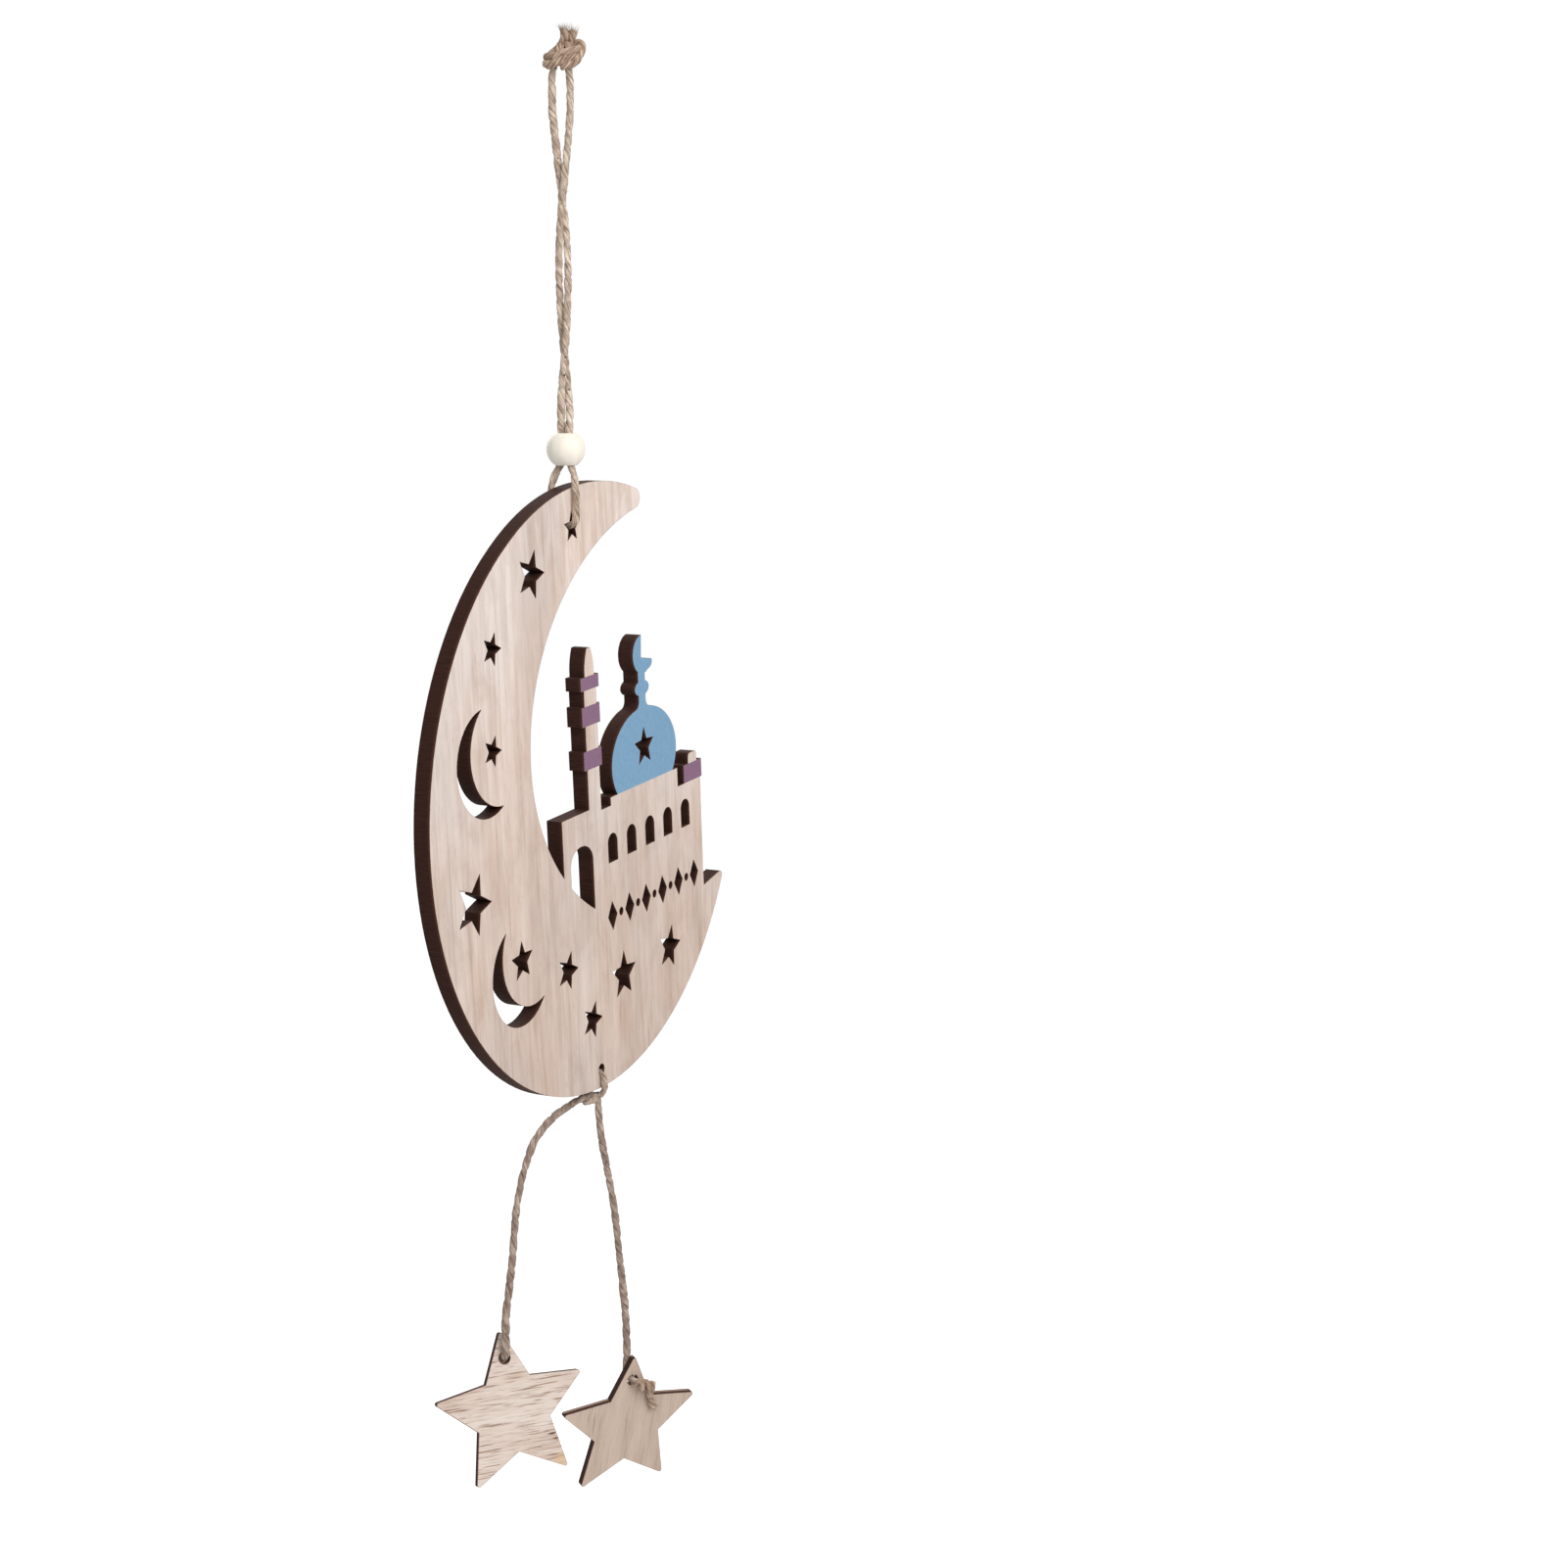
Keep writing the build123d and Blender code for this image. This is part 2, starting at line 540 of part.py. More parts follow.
os.makedirs("parts", exist_ok=True)
left_place = star_place(LEFT_TAIL_ROUTE, LEFT_STAR_POSE, 1)[0]
right_place = star_place(RIGHT_TAIL_ROUTE, RIGHT_STAR_POSE, -1)[0]
pieces = {
    "crescent_panel": crescent_panel(),
    "hanging_cord": Compound(children=hanging_cord()),
    "top_knot": top_knot(),
    "cord_bight": cord_bight(),
    "bead": bead(),
    "tail_hitch": tail_hitch(),
    "left_tail_cord": cord_tube("left tail", tail_route(LEFT_TAIL_ROUTE)),
    "right_tail_cord": cord_tube("right tail", tail_route(RIGHT_TAIL_ROUTE)),
    "left_star": left_place * tail_star(),
    "right_star": right_place * tail_star(),
    "left_star_knot": star_knot(
        "left star lead", LEFT_TAIL_ROUTE, LEFT_STAR_POSE, 1, LEFT_KNOT_SHIFT, LEFT_KNOT_END
    ),
    "right_star_knot": star_knot(
        "right star lead", RIGHT_TAIL_ROUTE, RIGHT_STAR_POSE, -1, RIGHT_KNOT_SHIFT, RIGHT_KNOT_END
    ),
}
for name, piece in pieces.items():
    export_step(piece, f"parts/{name}.step")
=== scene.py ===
from math import cos, pi, radians, sin
from random import Random

import bpy
from mathutils import Matrix, Vector, noise


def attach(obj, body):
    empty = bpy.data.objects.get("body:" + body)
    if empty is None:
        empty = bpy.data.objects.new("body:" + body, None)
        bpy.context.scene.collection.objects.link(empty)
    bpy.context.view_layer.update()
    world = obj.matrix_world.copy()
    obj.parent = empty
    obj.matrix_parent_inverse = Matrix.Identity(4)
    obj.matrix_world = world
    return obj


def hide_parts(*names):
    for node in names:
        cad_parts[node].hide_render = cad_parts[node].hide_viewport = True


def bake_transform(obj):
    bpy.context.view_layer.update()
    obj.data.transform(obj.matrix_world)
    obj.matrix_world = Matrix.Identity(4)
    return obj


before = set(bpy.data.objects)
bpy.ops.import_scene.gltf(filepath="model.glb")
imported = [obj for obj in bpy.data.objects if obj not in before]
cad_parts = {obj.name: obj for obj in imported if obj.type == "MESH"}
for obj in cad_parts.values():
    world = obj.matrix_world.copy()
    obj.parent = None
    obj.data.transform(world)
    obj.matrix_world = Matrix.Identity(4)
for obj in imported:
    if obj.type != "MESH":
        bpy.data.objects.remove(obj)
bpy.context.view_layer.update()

# View: the ornament hangs free in front of a white ground, seen from its left and a little above.
# A broad lamp stands in front and above it, a weaker one behind, and the white room fills the shadows.
CAMERA_PLACE = (-0.5901, -0.3427, -0.0648)
CAMERA_BEARING = -64.483
CAMERA_ELEVATION = 9.447
CAMERA_LENS = 61.46
CAMERA_NEAR = 0.01
ROOM_TINT = (0.98, 0.99, 1.0, 1)
ROOM_LIGHT = 0.50
WHITE = (1, 1, 1, 1)
# Each lamp: its place and its power
LAMPS = [((-0.55, -0.96, 0.60), 15.0), ((0.70, 0.90, 0.45), 9.0)]
LAMP_SIZE = 1.0
LAMP_AIM = Vector((0, 0, -0.2))
FLOOR_GREY = (0.9, 0.9, 0.9, 1)
FLOOR_LIFT = 0.6
FLOOR_HEIGHT = -0.95
FLOOR_HALF = 4.0


def add_node(tree, kind, inputs=None, **settings):
    """A shader node; an input given as a socket is linked, any other is set."""
    made = tree.nodes.new("ShaderNode" + kind)
    for key, value in settings.items():
        setattr(made, key, value)
    for key, value in (inputs or {}).items():
        if isinstance(value, bpy.types.NodeSocket):
            tree.links.new(value, made.inputs[key])
        else:
            made.inputs[key].default_value = value
    return made


def reckoned(tree, how, *values, **settings):
    """One step of arithmetic on numbers and sockets."""
    return add_node(tree, "Math", dict(enumerate(values)), operation=how, **settings).outputs[0]


def seen_directly(tree):
    """1 for what the camera sees, also in a gloss or through glass."""
    path = add_node(tree, "LightPath").outputs
    straight = reckoned(tree, "ADD", path["Is Camera Ray"], path["Is Glossy Ray"])
    return reckoned(tree, "ADD", straight, path["Is Transmission Ray"], use_clamp=True)


def new_material(name):
    """A material and its node tree."""
    material = bpy.data.materials.new(name)
    material.use_nodes = True
    return material, material.node_tree


scene = bpy.context.scene
scene.view_settings.view_transform = "Standard"
lens = bpy.data.cameras.new("camera")
lens.lens = CAMERA_LENS
lens.clip_start = CAMERA_NEAR
camera = bpy.data.objects.new("camera", lens)
camera.location = CAMERA_PLACE
camera.rotation_euler = (radians(90 - CAMERA_ELEVATION), 0, radians(CAMERA_BEARING))
scene.collection.objects.link(camera)
scene.camera = camera

for lamp_place, lamp_power in LAMPS:
    lamp_data = bpy.data.lights.new("lamp", "AREA")
    lamp_data.size = LAMP_SIZE
    lamp_data.energy = lamp_power
    lamp = bpy.data.objects.new("lamp", lamp_data)
    lamp.location = lamp_place
    lamp.rotation_euler = (Vector(lamp_place) - LAMP_AIM).to_track_quat("Z", "Y").to_euler()
    scene.collection.objects.link(lamp)

room = bpy.data.worlds.new("room")
room.use_nodes = True
scene.world = room
tree = room.node_tree
tree.nodes.clear()
fill = add_node(tree, "Background", {"Color": ROOM_TINT, "Strength": ROOM_LIGHT})
ground = add_node(tree, "Background", {"Color": WHITE, "Strength": 1.0})
shown = {0: seen_directly(tree), 1: fill.outputs[0], 2: ground.outputs[0]}
shown = add_node(tree, "MixShader", shown)
add_node(tree, "OutputWorld", {"Surface": shown.outputs[0]})

floor_mesh = bpy.data.meshes.new("floor")
corners = ((-1, -1), (1, -1), (1, 1), (-1, 1))
corners = [(x * FLOOR_HALF, y * FLOOR_HALF, FLOOR_HEIGHT) for x, y in corners]
floor_mesh.from_pydata(corners, [], [(0, 1, 2, 3)])
floor = bpy.data.objects.new("floor", floor_mesh)
scene.collection.objects.link(floor)
pale, tree = new_material("pale_floor")
tree.nodes.clear()
matt = add_node(tree, "BsdfDiffuse", {"Color": FLOOR_GREY})
lift = add_node(tree, "Emission", {"Color": WHITE, "Strength": FLOOR_LIFT})
lifted = add_node(tree, "AddShader", {0: matt.outputs[0], 1: lift.outputs[0]})
shown = {0: seen_directly(tree), 1: matt.outputs[0], 2: lifted.outputs[0]}
shown = add_node(tree, "MixShader", shown)
add_node(tree, "OutputMaterial", {"Surface": shown.outputs[0]})
floor_mesh.materials.append(pale)

# Hanging loop: one length of two-ply jute twine. Its legs wind once round each other from the knot
# to the bead, part below it, straddle the board and meet in the star hole.
LOOP_SEED = 1
LOOP_FUZZ_SEED = 11
# One leg: its drop below the knot, its bearing round the loop's upright line, its distance from that line
LEG_STATIONS = [
    (-0.0035, 285, 0.0012),
    (0.0, 285, 0.00225),
    (0.004, 285, 0.00235),
    (0.009, 288, 0.0023),
    (0.0145, 284, 0.0018),
    (0.0205, 270, 0.0013),
    (0.027, 235, 0.0011),
    (0.033, 197, 0.0011),
    (0.0395, 157, 0.0011),
    (0.046, 125, 0.00115),
    (0.053, 99, 0.00115),
    (0.060, 73, 0.0011),
    (0.067, 40, 0.0011),
    (0.074, 0, 0.0011),
    (0.0805, -42, 0.0011),
    (0.086, -78, 0.0011),
    (0.0892, -90, 0.0011),
    (0.0955, -90, 0.00115),
]
# Below the bead: down the board's face, through the star hole and up its back
BIGHT_ROUTE = [
    (0.0, -0.0024, -0.0990),
    (0.0, -0.0029, -0.1025),
    (0.0, -0.0028, -0.1070),
    (0.0, -0.0029, -0.1102),
    (0.0, -0.0016, -0.1115),
    (0.0, 0.0008, -0.1111),
    (0.0, 0.0032, -0.1115),
    (0.0, 0.0045, -0.1102),
    (0.0, 0.0044, -0.1070),
    (0.0, 0.0045, -0.1025),
    (0.0, 0.0037, -0.0997),
    (0.0, 0.0024, -0.0975),
]
TWINE_RADIUS = 0.00095
TWIST_LENGTH = 0.0086
PLY_OFFSET = 0.00034
PLY_RADIAL = 0.00061
PLY_ACROSS = 0.00078
PLY_SIDES = 12
# How a ply varies: how much, how often in a metre, and its own row of noise (shift, start, step by ply)
PLY_SLIP = (1.3, 130, 0.9, 2.7, 0)
SHORT_SWELL = (0.20, 190, 0.37, 0, 7.3)
LONG_SWELL = (0.16, 75, 0.53, 3.1, 0)
PLY_WANDER = (0.00010, 260, 0.23, 5.1, 1)
TUFT_SIZE = 0.15
TUFTS_PER_METRE = 620
TUFT_ROUND = 1.7
TUFT_PLY_STEP = 4.1
FIBRE_SIDES = 3
FIBRE_RINGS = 4
FIBRE_TAPER = 0.75
FIBRE_SHIFT = 3
FIBRE_TONES = (0, 400)
# Fuzz: ranges of how far a fibre stands out, lies along, skews, bends, reaches and varies in thickness
FUZZ_PER_MM = 4.0
FUZZ_RADIUS = 0.000032
FUZZ_ROOT = 0.82
FUZZ_OUT = (0.25, 0.9)
FUZZ_ALONG = (0.5, 1.2)
FUZZ_SKEW = (-0.6, 0.6)
FUZZ_BEND = (-0.3, 0.25)
FUZZ_LENGTH = (0.0004, 0.0009)
FUZZ_THICKNESS = (0.6, 1.2)
STRAY_LENGTH = 0.0008
STRAY_RARITY = 5
FRAY_RADIUS = 0.00006
FRAY_ROOT = 0.0006
FRAY_SPLAY = (0.0, 0.55)
FRAY_REACH = (0.45, 1.1)
FRAY_BEND = (-0.2, 0.3)
JUTE_DULL = (0.75, 0.71, 0.67)
JUTE_BRIGHT = (1.12, 1.12, 1.11)
BARK_BROWN = (0.075, 0.052, 0.038, 1)


def spline_points(route, steps=20):
    """The smooth line of a cord, with its route's points as control points."""
    curve = bpy.data.curves.new("route", "CURVE")
    curve.dimensions = "3D"
    curve.resolution_u = steps
    spline = curve.splines.new("NURBS")
    spline.points.add(len(route) - 1)
    for control, place in zip(spline.points, route):
        control.co = (*place, 1.0)
    spline.order_u = 3
    spline.use_endpoint_u = True
    holder = bpy.data.objects.new("route", curve)
    line = bpy.data.meshes.new_from_object(holder)
    points = [v.co.copy() for v in line.vertices]
    bpy.data.meshes.remove(line)
    bpy.data.objects.remove(holder)
    bpy.data.curves.remove(curve)
    return points


def end_way(line):
    """The way a cord points at its end."""
    return (line[-1] - line[-2]).normalized()


def cord_frames(line):
    """At each point of a line: the point, its way, two sides square to it, and the length so far."""
    frames = []
    side = None
    run = 0.0
    for i, point in enumerate(line):
        way = (line[min(i + 1, len(line) - 1)] - line[max(i - 1, 0)]).normalized()
        side = way.orthogonal() if side is None else side - way * side.dot(way)
        side.normalize()
        run += (point - line[i - 1]).length if i else 0.0
        frames.append((point, way, side.copy(), way.cross(side), run))
    return frames


def uneven(how, run, seed, ply):
    """How much a ply varies at a place along the twine."""
    amount, pitch, shift, start, step = how
    return amount * noise.noise((run * pitch, seed + shift, start + ply * step))


def add_plies(shape, line, seed, fullness=1.0, flare=0.0):
    """Two plies laid round each other along a line, each uneven as hand-spun jute is."""
    verts, faces, lie = shape
    frames = cord_frames(line)
    whole = frames[-1][4]
    for ply in range(2):
        first = len(verts)
        for point, way, side, cross, run in frames:
            turn = pi * ply - 2 * pi * run / TWIST_LENGTH + uneven(PLY_SLIP, run, seed, ply)
            out = side * cos(turn) + cross * sin(turn)
            along = side * -sin(turn) + cross * cos(turn)
            full = fullness + flare * (run / whole) ** 2
            swell = full + uneven(SHORT_SWELL, run, seed, ply) + uneven(LONG_SWELL, run, seed, ply)
            centre = point + out * (PLY_OFFSET * full + uneven(PLY_WANDER, run, seed, ply))
            for k in range(PLY_SIDES):
                a = 2 * pi * k / PLY_SIDES
                bulge = out * cos(a) * PLY_RADIAL + along * sin(a) * PLY_ACROSS
                row = seed + TUFT_ROUND * cos(a)
                lane = ply * TUFT_PLY_STEP + TUFT_ROUND * sin(a)
                tuft = TUFT_SIZE * noise.noise((run * TUFTS_PER_METRE, row, lane))
                verts.append(centre + bulge * (swell + tuft))
                lie.append((run * 1000 + seed * 31 + ply * 57, cos(a), sin(a)))
        for i in range(len(frames) - 1):
            for k in range(PLY_SIDES):
                a = first + i * PLY_SIDES + k
                b = first + i * PLY_SIDES + (k + 1) % PLY_SIDES
                faces.append((a, b, b + PLY_SIDES, a + PLY_SIDES))
        last = len(verts) - PLY_SIDES
        faces.append(tuple(range(first + PLY_SIDES - 1, first - 1, -1)))
        faces.append(tuple(range(last, last + PLY_SIDES)))


def add_fibre(shape, root, way, bend, length, radius, tone):
    """One loose jute fibre, three-sided, drawn out to a point."""
    verts, faces, lie = shape
    side = way.orthogonal().normalized()
    cross = way.cross(side)
    first = len(verts)
    for i in range(FIBRE_RINGS):
        t = i / FIBRE_RINGS
        centre = root + way * length * t + bend * length * t * t
        for k in range(FIBRE_SIDES):
            a = 2 * pi * k / FIBRE_SIDES
            verts.append(centre + (side * cos(a) + cross * sin(a)) * radius * (1 - FIBRE_TAPER * t))
            lie.append((tone + t * FIBRE_SHIFT, cos(a), sin(a)))
    verts.append(root + way * length + bend * length)
    lie.append((tone + FIBRE_SHIFT, 0.0, 0.0))
    for i in range(FIBRE_RINGS - 1):
        for k in range(FIBRE_SIDES):
            a = first + FIBRE_SIDES * i + k
            b = first + FIBRE_SIDES * i + (k + 1) % FIBRE_SIDES
            faces.append((a, b, b + FIBRE_SIDES, a + FIBRE_SIDES))
    last = first + FIBRE_SIDES * (FIBRE_RINGS - 1)
    for k in range(FIBRE_SIDES):
        faces.append((last + k, last + (k + 1) % FIBRE_SIDES, len(verts) - 1))


def add_fuzz(shape, line, seed):
    """Short fibres that stand off the twine, most of them along its lay, a few of them longer."""
    chance = Random(seed)
    frames = cord_frames(line)
    for _ in range(int(frames[-1][4] * 1000 * FUZZ_PER_MM)):
        point, way, side, cross, run = frames[chance.randrange(len(frames))]
        a = chance.uniform(0, 2 * pi)
        out = side * cos(a) + cross * sin(a)
        lean = out * chance.uniform(*FUZZ_OUT)
        lean += way * chance.choice((-1, 1)) * chance.uniform(*FUZZ_ALONG)
        lean += way.cross(out) * chance.uniform(*FUZZ_SKEW)
        bend = Vector([chance.uniform(*FUZZ_BEND) for _ in range(3)])
        length = chance.uniform(*FUZZ_LENGTH) + STRAY_LENGTH * chance.random() ** STRAY_RARITY
        root = point + out * TWINE_RADIUS * FUZZ_ROOT
        radius = FUZZ_RADIUS * chance.uniform(*FUZZ_THICKNESS)
        add_fibre(shape, root, lean.normalized(), bend, length, radius, chance.uniform(*FIBRE_TONES))


def add_fray(shape, line, seed, count, length):
    """The brush of fibres at a cut end."""
    chance = Random(seed)
    tip = line[-1]
    way = end_way(line)
    side = way.orthogonal().normalized()
    cross = way.cross(side)
    for _ in range(count):
        a = chance.uniform(0, 2 * pi)
        reach = TWINE_RADIUS * chance.random() ** 0.5
        out = side * cos(a) + cross * sin(a)
        lean = (way + out * chance.uniform(*FRAY_SPLAY)).normalized()
        root = tip + out * reach - way * FRAY_ROOT
        own = length * chance.uniform(*FRAY_REACH)
        bend = out * chance.uniform(*FRAY_BEND)
        add_fibre(shape, root, lean, bend, own, FRAY_RADIUS, chance.uniform(*FIBRE_TONES))


def twine_piece(name, shape, material):
    """A mesh of plies and fibres; ply_lie holds the length along a fibre and its turn round the ply."""
    verts, faces, lie = shape
    mesh = bpy.data.meshes.new(name)
    mesh.from_pydata(verts, [], faces)
    mesh.shade_smooth()
    stored = mesh.attributes.new("ply_lie", "FLOAT_VECTOR", "POINT")
    stored.data.foreach_set("vector", [value for place in lie for value in place])
    mesh.materials.append(material)
    piece = bpy.data.objects.new(name, mesh)
    scene.collection.objects.link(piece)
    return piece


def colour_ramp(tree, factor, *stops):
    """A colour for each factor, between stops of (factor, colour)."""
    made = add_node(tree, "ValToRGB", {"Fac": factor})
    ramp = made.color_ramp.elements
    while len(ramp) < len(stops):
        ramp.new(0.5)
    for element, (place, colour) in zip(ramp, stops):
        element.position = place
        element.color = (*colour, 1)
    return made.outputs["Color"]


def blend_colour(tree, how, factor, first, second):
    """Two colours mixed, multiplied and so on by a factor."""
    made = add_node(tree, "Mix", data_type="RGBA", blend_type=how)
    for socket, value in ((made.inputs[0], factor), (made.inputs[6], first), (made.inputs[7], second)):
        if isinstance(value, bpy.types.NodeSocket):
            tree.links.new(value, socket)
        else:
            socket.default_value = value
    return made.outputs[2]


def tinted(tree, tone, factor, *stops, amount=1.0):
    """A tone multiplied by the tint that a factor gives."""
    return blend_colour(tree, "MULTIPLY", amount, tone, colour_ramp(tree, factor, *stops))


def finish_surface(tree, tone, height, relief, depth, roughness, gloss):
    """A surface's colour, its fine relief, and how rough and glossy it is."""
    skin = tree.nodes["Principled BSDF"]
    raised = add_node(tree, "Bump", {"Height": height, "Strength": relief, "Distance": depth})
    tree.links.new(tone, skin.inputs["Base Color"])
    tree.links.new(raised.outputs[0], skin.inputs["Normal"])
    skin.inputs["Roughness"].default_value = roughness
    skin.inputs["Specular IOR Level"].default_value = gloss
    return skin


def jute(name, shade, straw, bleached):
    """Jute: streaks of fibre along each ply, from shaded to bleached, with dark bark flecks."""
    material, tree = new_material(name)
    lie = add_node(tree, "Attribute", attribute_name="ply_lie").outputs["Vector"]
    drawn = add_node(tree, "Mapping", {"Vector": lie, "Scale": (0.20, 1.9, 1.9)}).outputs[0]
    streaks = {"Vector": drawn, "Scale": 1.0, "Detail": 5.0, "Roughness": 0.65}
    streaks = add_node(tree, "TexNoise", streaks).outputs["Fac"]
    tone = colour_ramp(tree, streaks, (0.32, shade), (0.48, straw), (0.64, bleached))
    place = add_node(tree, "TexCoord").outputs["Object"]
    patches = {"Vector": place, "Scale": 400.0, "Detail": 3.0}
    patches = add_node(tree, "TexNoise", patches).outputs["Fac"]
    tone = tinted(tree, tone, patches, (0.40, JUTE_DULL), (0.60, JUTE_BRIGHT))
    bark = {"Vector": place, "Scale": 520.0, "Detail": 3.0, "Roughness": 0.6}
    bark = add_node(tree, "TexNoise", bark).outputs["Fac"]
    fleck = colour_ramp(tree, bark, (0.66, (0, 0, 0)), (0.72, (1, 1, 1)))
    tone = blend_colour(tree, "MIX", fleck, tone, BARK_BROWN)
    skin = finish_surface(tree, tone, streaks, relief=0.7, depth=0.00018, roughness=0.9, gloss=0.15)
    skin.inputs["Sheen Weight"].default_value = 0.08
    skin.inputs["Sheen Roughness"].default_value = 0.6
    return material


def leg_route(half_turn):
    """One leg of the loop from the knot to the bead, or the other at half a turn from it."""
    route = []
    for drop, bearing, spread in LEG_STATIONS:
        angle = radians(bearing + half_turn)
        route.append((spread * cos(angle), spread * sin(angle), -drop))
    return route


loop_jute = jute("loop_jute", (0.18, 0.115, 0.077), (0.515, 0.405, 0.32), (0.77, 0.66, 0.555))
loop_line = spline_points(leg_route(0) + BIGHT_ROUTE + leg_route(180)[::-1])
loop_shape = ([], [], [])
add_plies(loop_shape, loop_line, LOOP_SEED)
add_fuzz(loop_shape, loop_line, LOOP_FUZZ_SEED)
hanging_loop = twine_piece("hanging_loop", loop_shape, loop_jute)
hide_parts("hanging_cord", "cord_bight")
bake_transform(hanging_loop)

# Top knot: both ends of the loop, tied together in one overhand knot of the same jute. Its doubled
# band climbs to the right, one strand rides up its right end, and two cut ends stand up behind.
MILLIMETRE = 0.001
KNOT_RIGHT = Vector((0.49, -0.87, 0.0))
KNOT_FRONT = Vector((-0.87, -0.49, 0.0))
KNOT_FULLNESS = 1.2
KNOT_SEED = 3
KNOT_FUZZ_SEED = 21
KNOT_FRAY_SEED = 31
KNOT_FRAYS = 46
KNOT_FRAY_LENGTH = 0.0022
# Strands of the knot in millimetres from the loop's middle: right, front, up
UPPER_BAND = [
    (2.6, -2.0, 4.8),
    (4.3, -1.3, 5.2),
    (4.6, 0.9, 5.5),
    (3.0, 2.2, 5.1),
    (0.4, 2.4, 4.2),
    (-2.0, 2.1, 3.5),
    (-3.2, 0.9, 3.4),
    (-3.2, -1.0, 3.8),
    (-1.9, -1.9, 4.7),
    (-0.3, -1.5, 5.9),
    (0.8, -0.8, 7.2),
    (1.2, -0.4, 8.8),
    (0.9, -0.3, 10.4),
]
LOWER_BAND = [
    (2.4, -2.0, 3.0),
    (4.0, -1.3, 3.3),
    (4.3, 0.9, 3.7),
    (2.8, 2.3, 3.4),
    (0.3, 2.5, 2.5),
    (-2.1, 2.2, 1.8),
    (-3.4, 0.8, 1.6),
    (-3.4, -1.1, 2.3),
    (-2.0, -2.3, 3.6),
    (0.4, -2.2, 5.2),
    (2.2, -1.2, 6.6),
    (3.0, -0.6, 8.2),
    (3.2, -0.4, 10.0),
]
RIGHT_RISER = [
    (0.2, 1.4, 1.5),
    (1.9, 2.0, 1.5),
    (3.8, 1.8, 2.5),
    (5.0, 0.6, 4.6),
    (5.2, -0.6, 6.6),
    (4.2, -1.8, 7.2),
    (2.6, -1.6, 6.8),
]
LEFT_CORE = [(-1.9, 0.0, 0.8), (-1.5, 0.1, 3.0), (-0.9, 0.1, 4.8), (0.2, -0.2, 6.6)]
RIGHT_CORE = [(1.9, 0.0, 0.8), (2.1, 0.1, 3.0), (1.9, 0.2, 5.0), (2.2, -0.2, 7.0)]


def knot_point(right, front, up):
    """A place in the top knot, from its own millimetres."""
    return (KNOT_RIGHT * right + KNOT_FRONT * front + Vector((0, 0, up))) * MILLIMETRE


# The knots are the same jute, given a darker, browner copy of the loop's colours: painted shade
shaded_knot_jute = jute("shaded_knot_jute", (0.11, 0.062, 0.04), (0.36, 0.247, 0.182), (0.66, 0.51, 0.395))
knot_shape = ([], [], [])
for number, strand in enumerate((UPPER_BAND, LOWER_BAND, RIGHT_RISER, LEFT_CORE, RIGHT_CORE)):
    line = spline_points([knot_point(*place) for place in strand])
    add_plies(knot_shape, line, KNOT_SEED + number, KNOT_FULLNESS)
    add_fuzz(knot_shape, line, KNOT_FUZZ_SEED + number)
    if strand in (UPPER_BAND, LOWER_BAND):
        add_fray(knot_shape, line, KNOT_FRAY_SEED + number, KNOT_FRAYS, KNOT_FRAY_LENGTH)
top_knot = twine_piece("top_knot_band", knot_shape, shaded_knot_jute)
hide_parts("top_knot")
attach(top_knot, "hanger")

# Bead: a turned wooden ball, bored through for both legs, sanded smooth and left pale.
# It slides on the twine and rests where the legs part.
BEAD_CREAM = (0.90, 0.84, 0.73)
BEAD_WARM = (0.85, 0.78, 0.665)
# How often the bead's grain changes in a metre: across, through and up
BEAD_GRAIN = (900, 900, 90)


def dress_node(name, material):
    """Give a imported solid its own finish."""
    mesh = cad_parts[name].data
    mesh.materials.clear()
    mesh.materials.append(material)


bead_wood, tree = new_material("bead_wood")
place = add_node(tree, "TexCoord").outputs["Object"]
drawn = add_node(tree, "Mapping", {"Vector": place, "Scale": BEAD_GRAIN}).outputs[0]
grain = add_node(tree, "TexNoise", {"Vector": drawn, "Scale": 1.0, "Detail": 4.0}).outputs["Fac"]
tone = colour_ramp(tree, grain, (0.36, BEAD_WARM), (0.62, BEAD_CREAM))
finish_surface(tree, tone, grain, relief=0.12, depth=0.0001, roughness=0.48, gloss=0.4)
dress_node("bead", bead_wood)

# Board: one sheet of pale wood, cut by laser, so that every cut edge is charred brown-black.
# The grain runs upright. The dome is painted sky blue and the tower bands mauve, on the face only.
BOARD_CENTRE = (0.0116964, 0.0008, -0.181599)
BOARD_TILT = 3.76
BOARD_FACE = -2.25
BOARD_RADIUS = 80.0
GRAIN_PALE = (0.695, 0.589, 0.522)
GRAIN_MID = (0.642, 0.531, 0.464)
GRAIN_DARK = (0.565, 0.45, 0.382)
# How often each layer of the grain changes in a millimetre: across, through and up the board
BROAD_GRAIN = (0.050, 0.3, 0.0065)
STRIPE_GRAIN = (0.30, 0.4, 0.020)
FINE_GRAIN = (1.25, 0.5, 0.065)
PORE_GRAIN = (2.3, 1.0, 0.17)
CLOUD_GRAIN = (0.14, 0.3, 0.07)
BLUSH_GRAIN = (0.035, 0.1, 0.02)
CHAR_RIDGES = (3.2, 0.25, 3.2)
# Tints that these layers lay over the wood
PLAIN = (1, 1, 1)
STRIPE_BROWN = (0.88, 0.83, 0.80)
STRIPE_PALE = (1.09, 1.095, 1.10)
FIBRE_BROWN = (0.87, 0.84, 0.815)
FIBRE_PALE = (1.03, 1.03, 1.03)
PORE_BROWN = (0.76, 0.69, 0.64)
CLOUD_BROWN = (0.93, 0.905, 0.89)
CLOUD_PALE = (1.05, 1.05, 1.05)
BLUSH_WARM = (1.02, 0.975, 0.95)
BLUSH_COOL = (0.985, 1.0, 1.02)
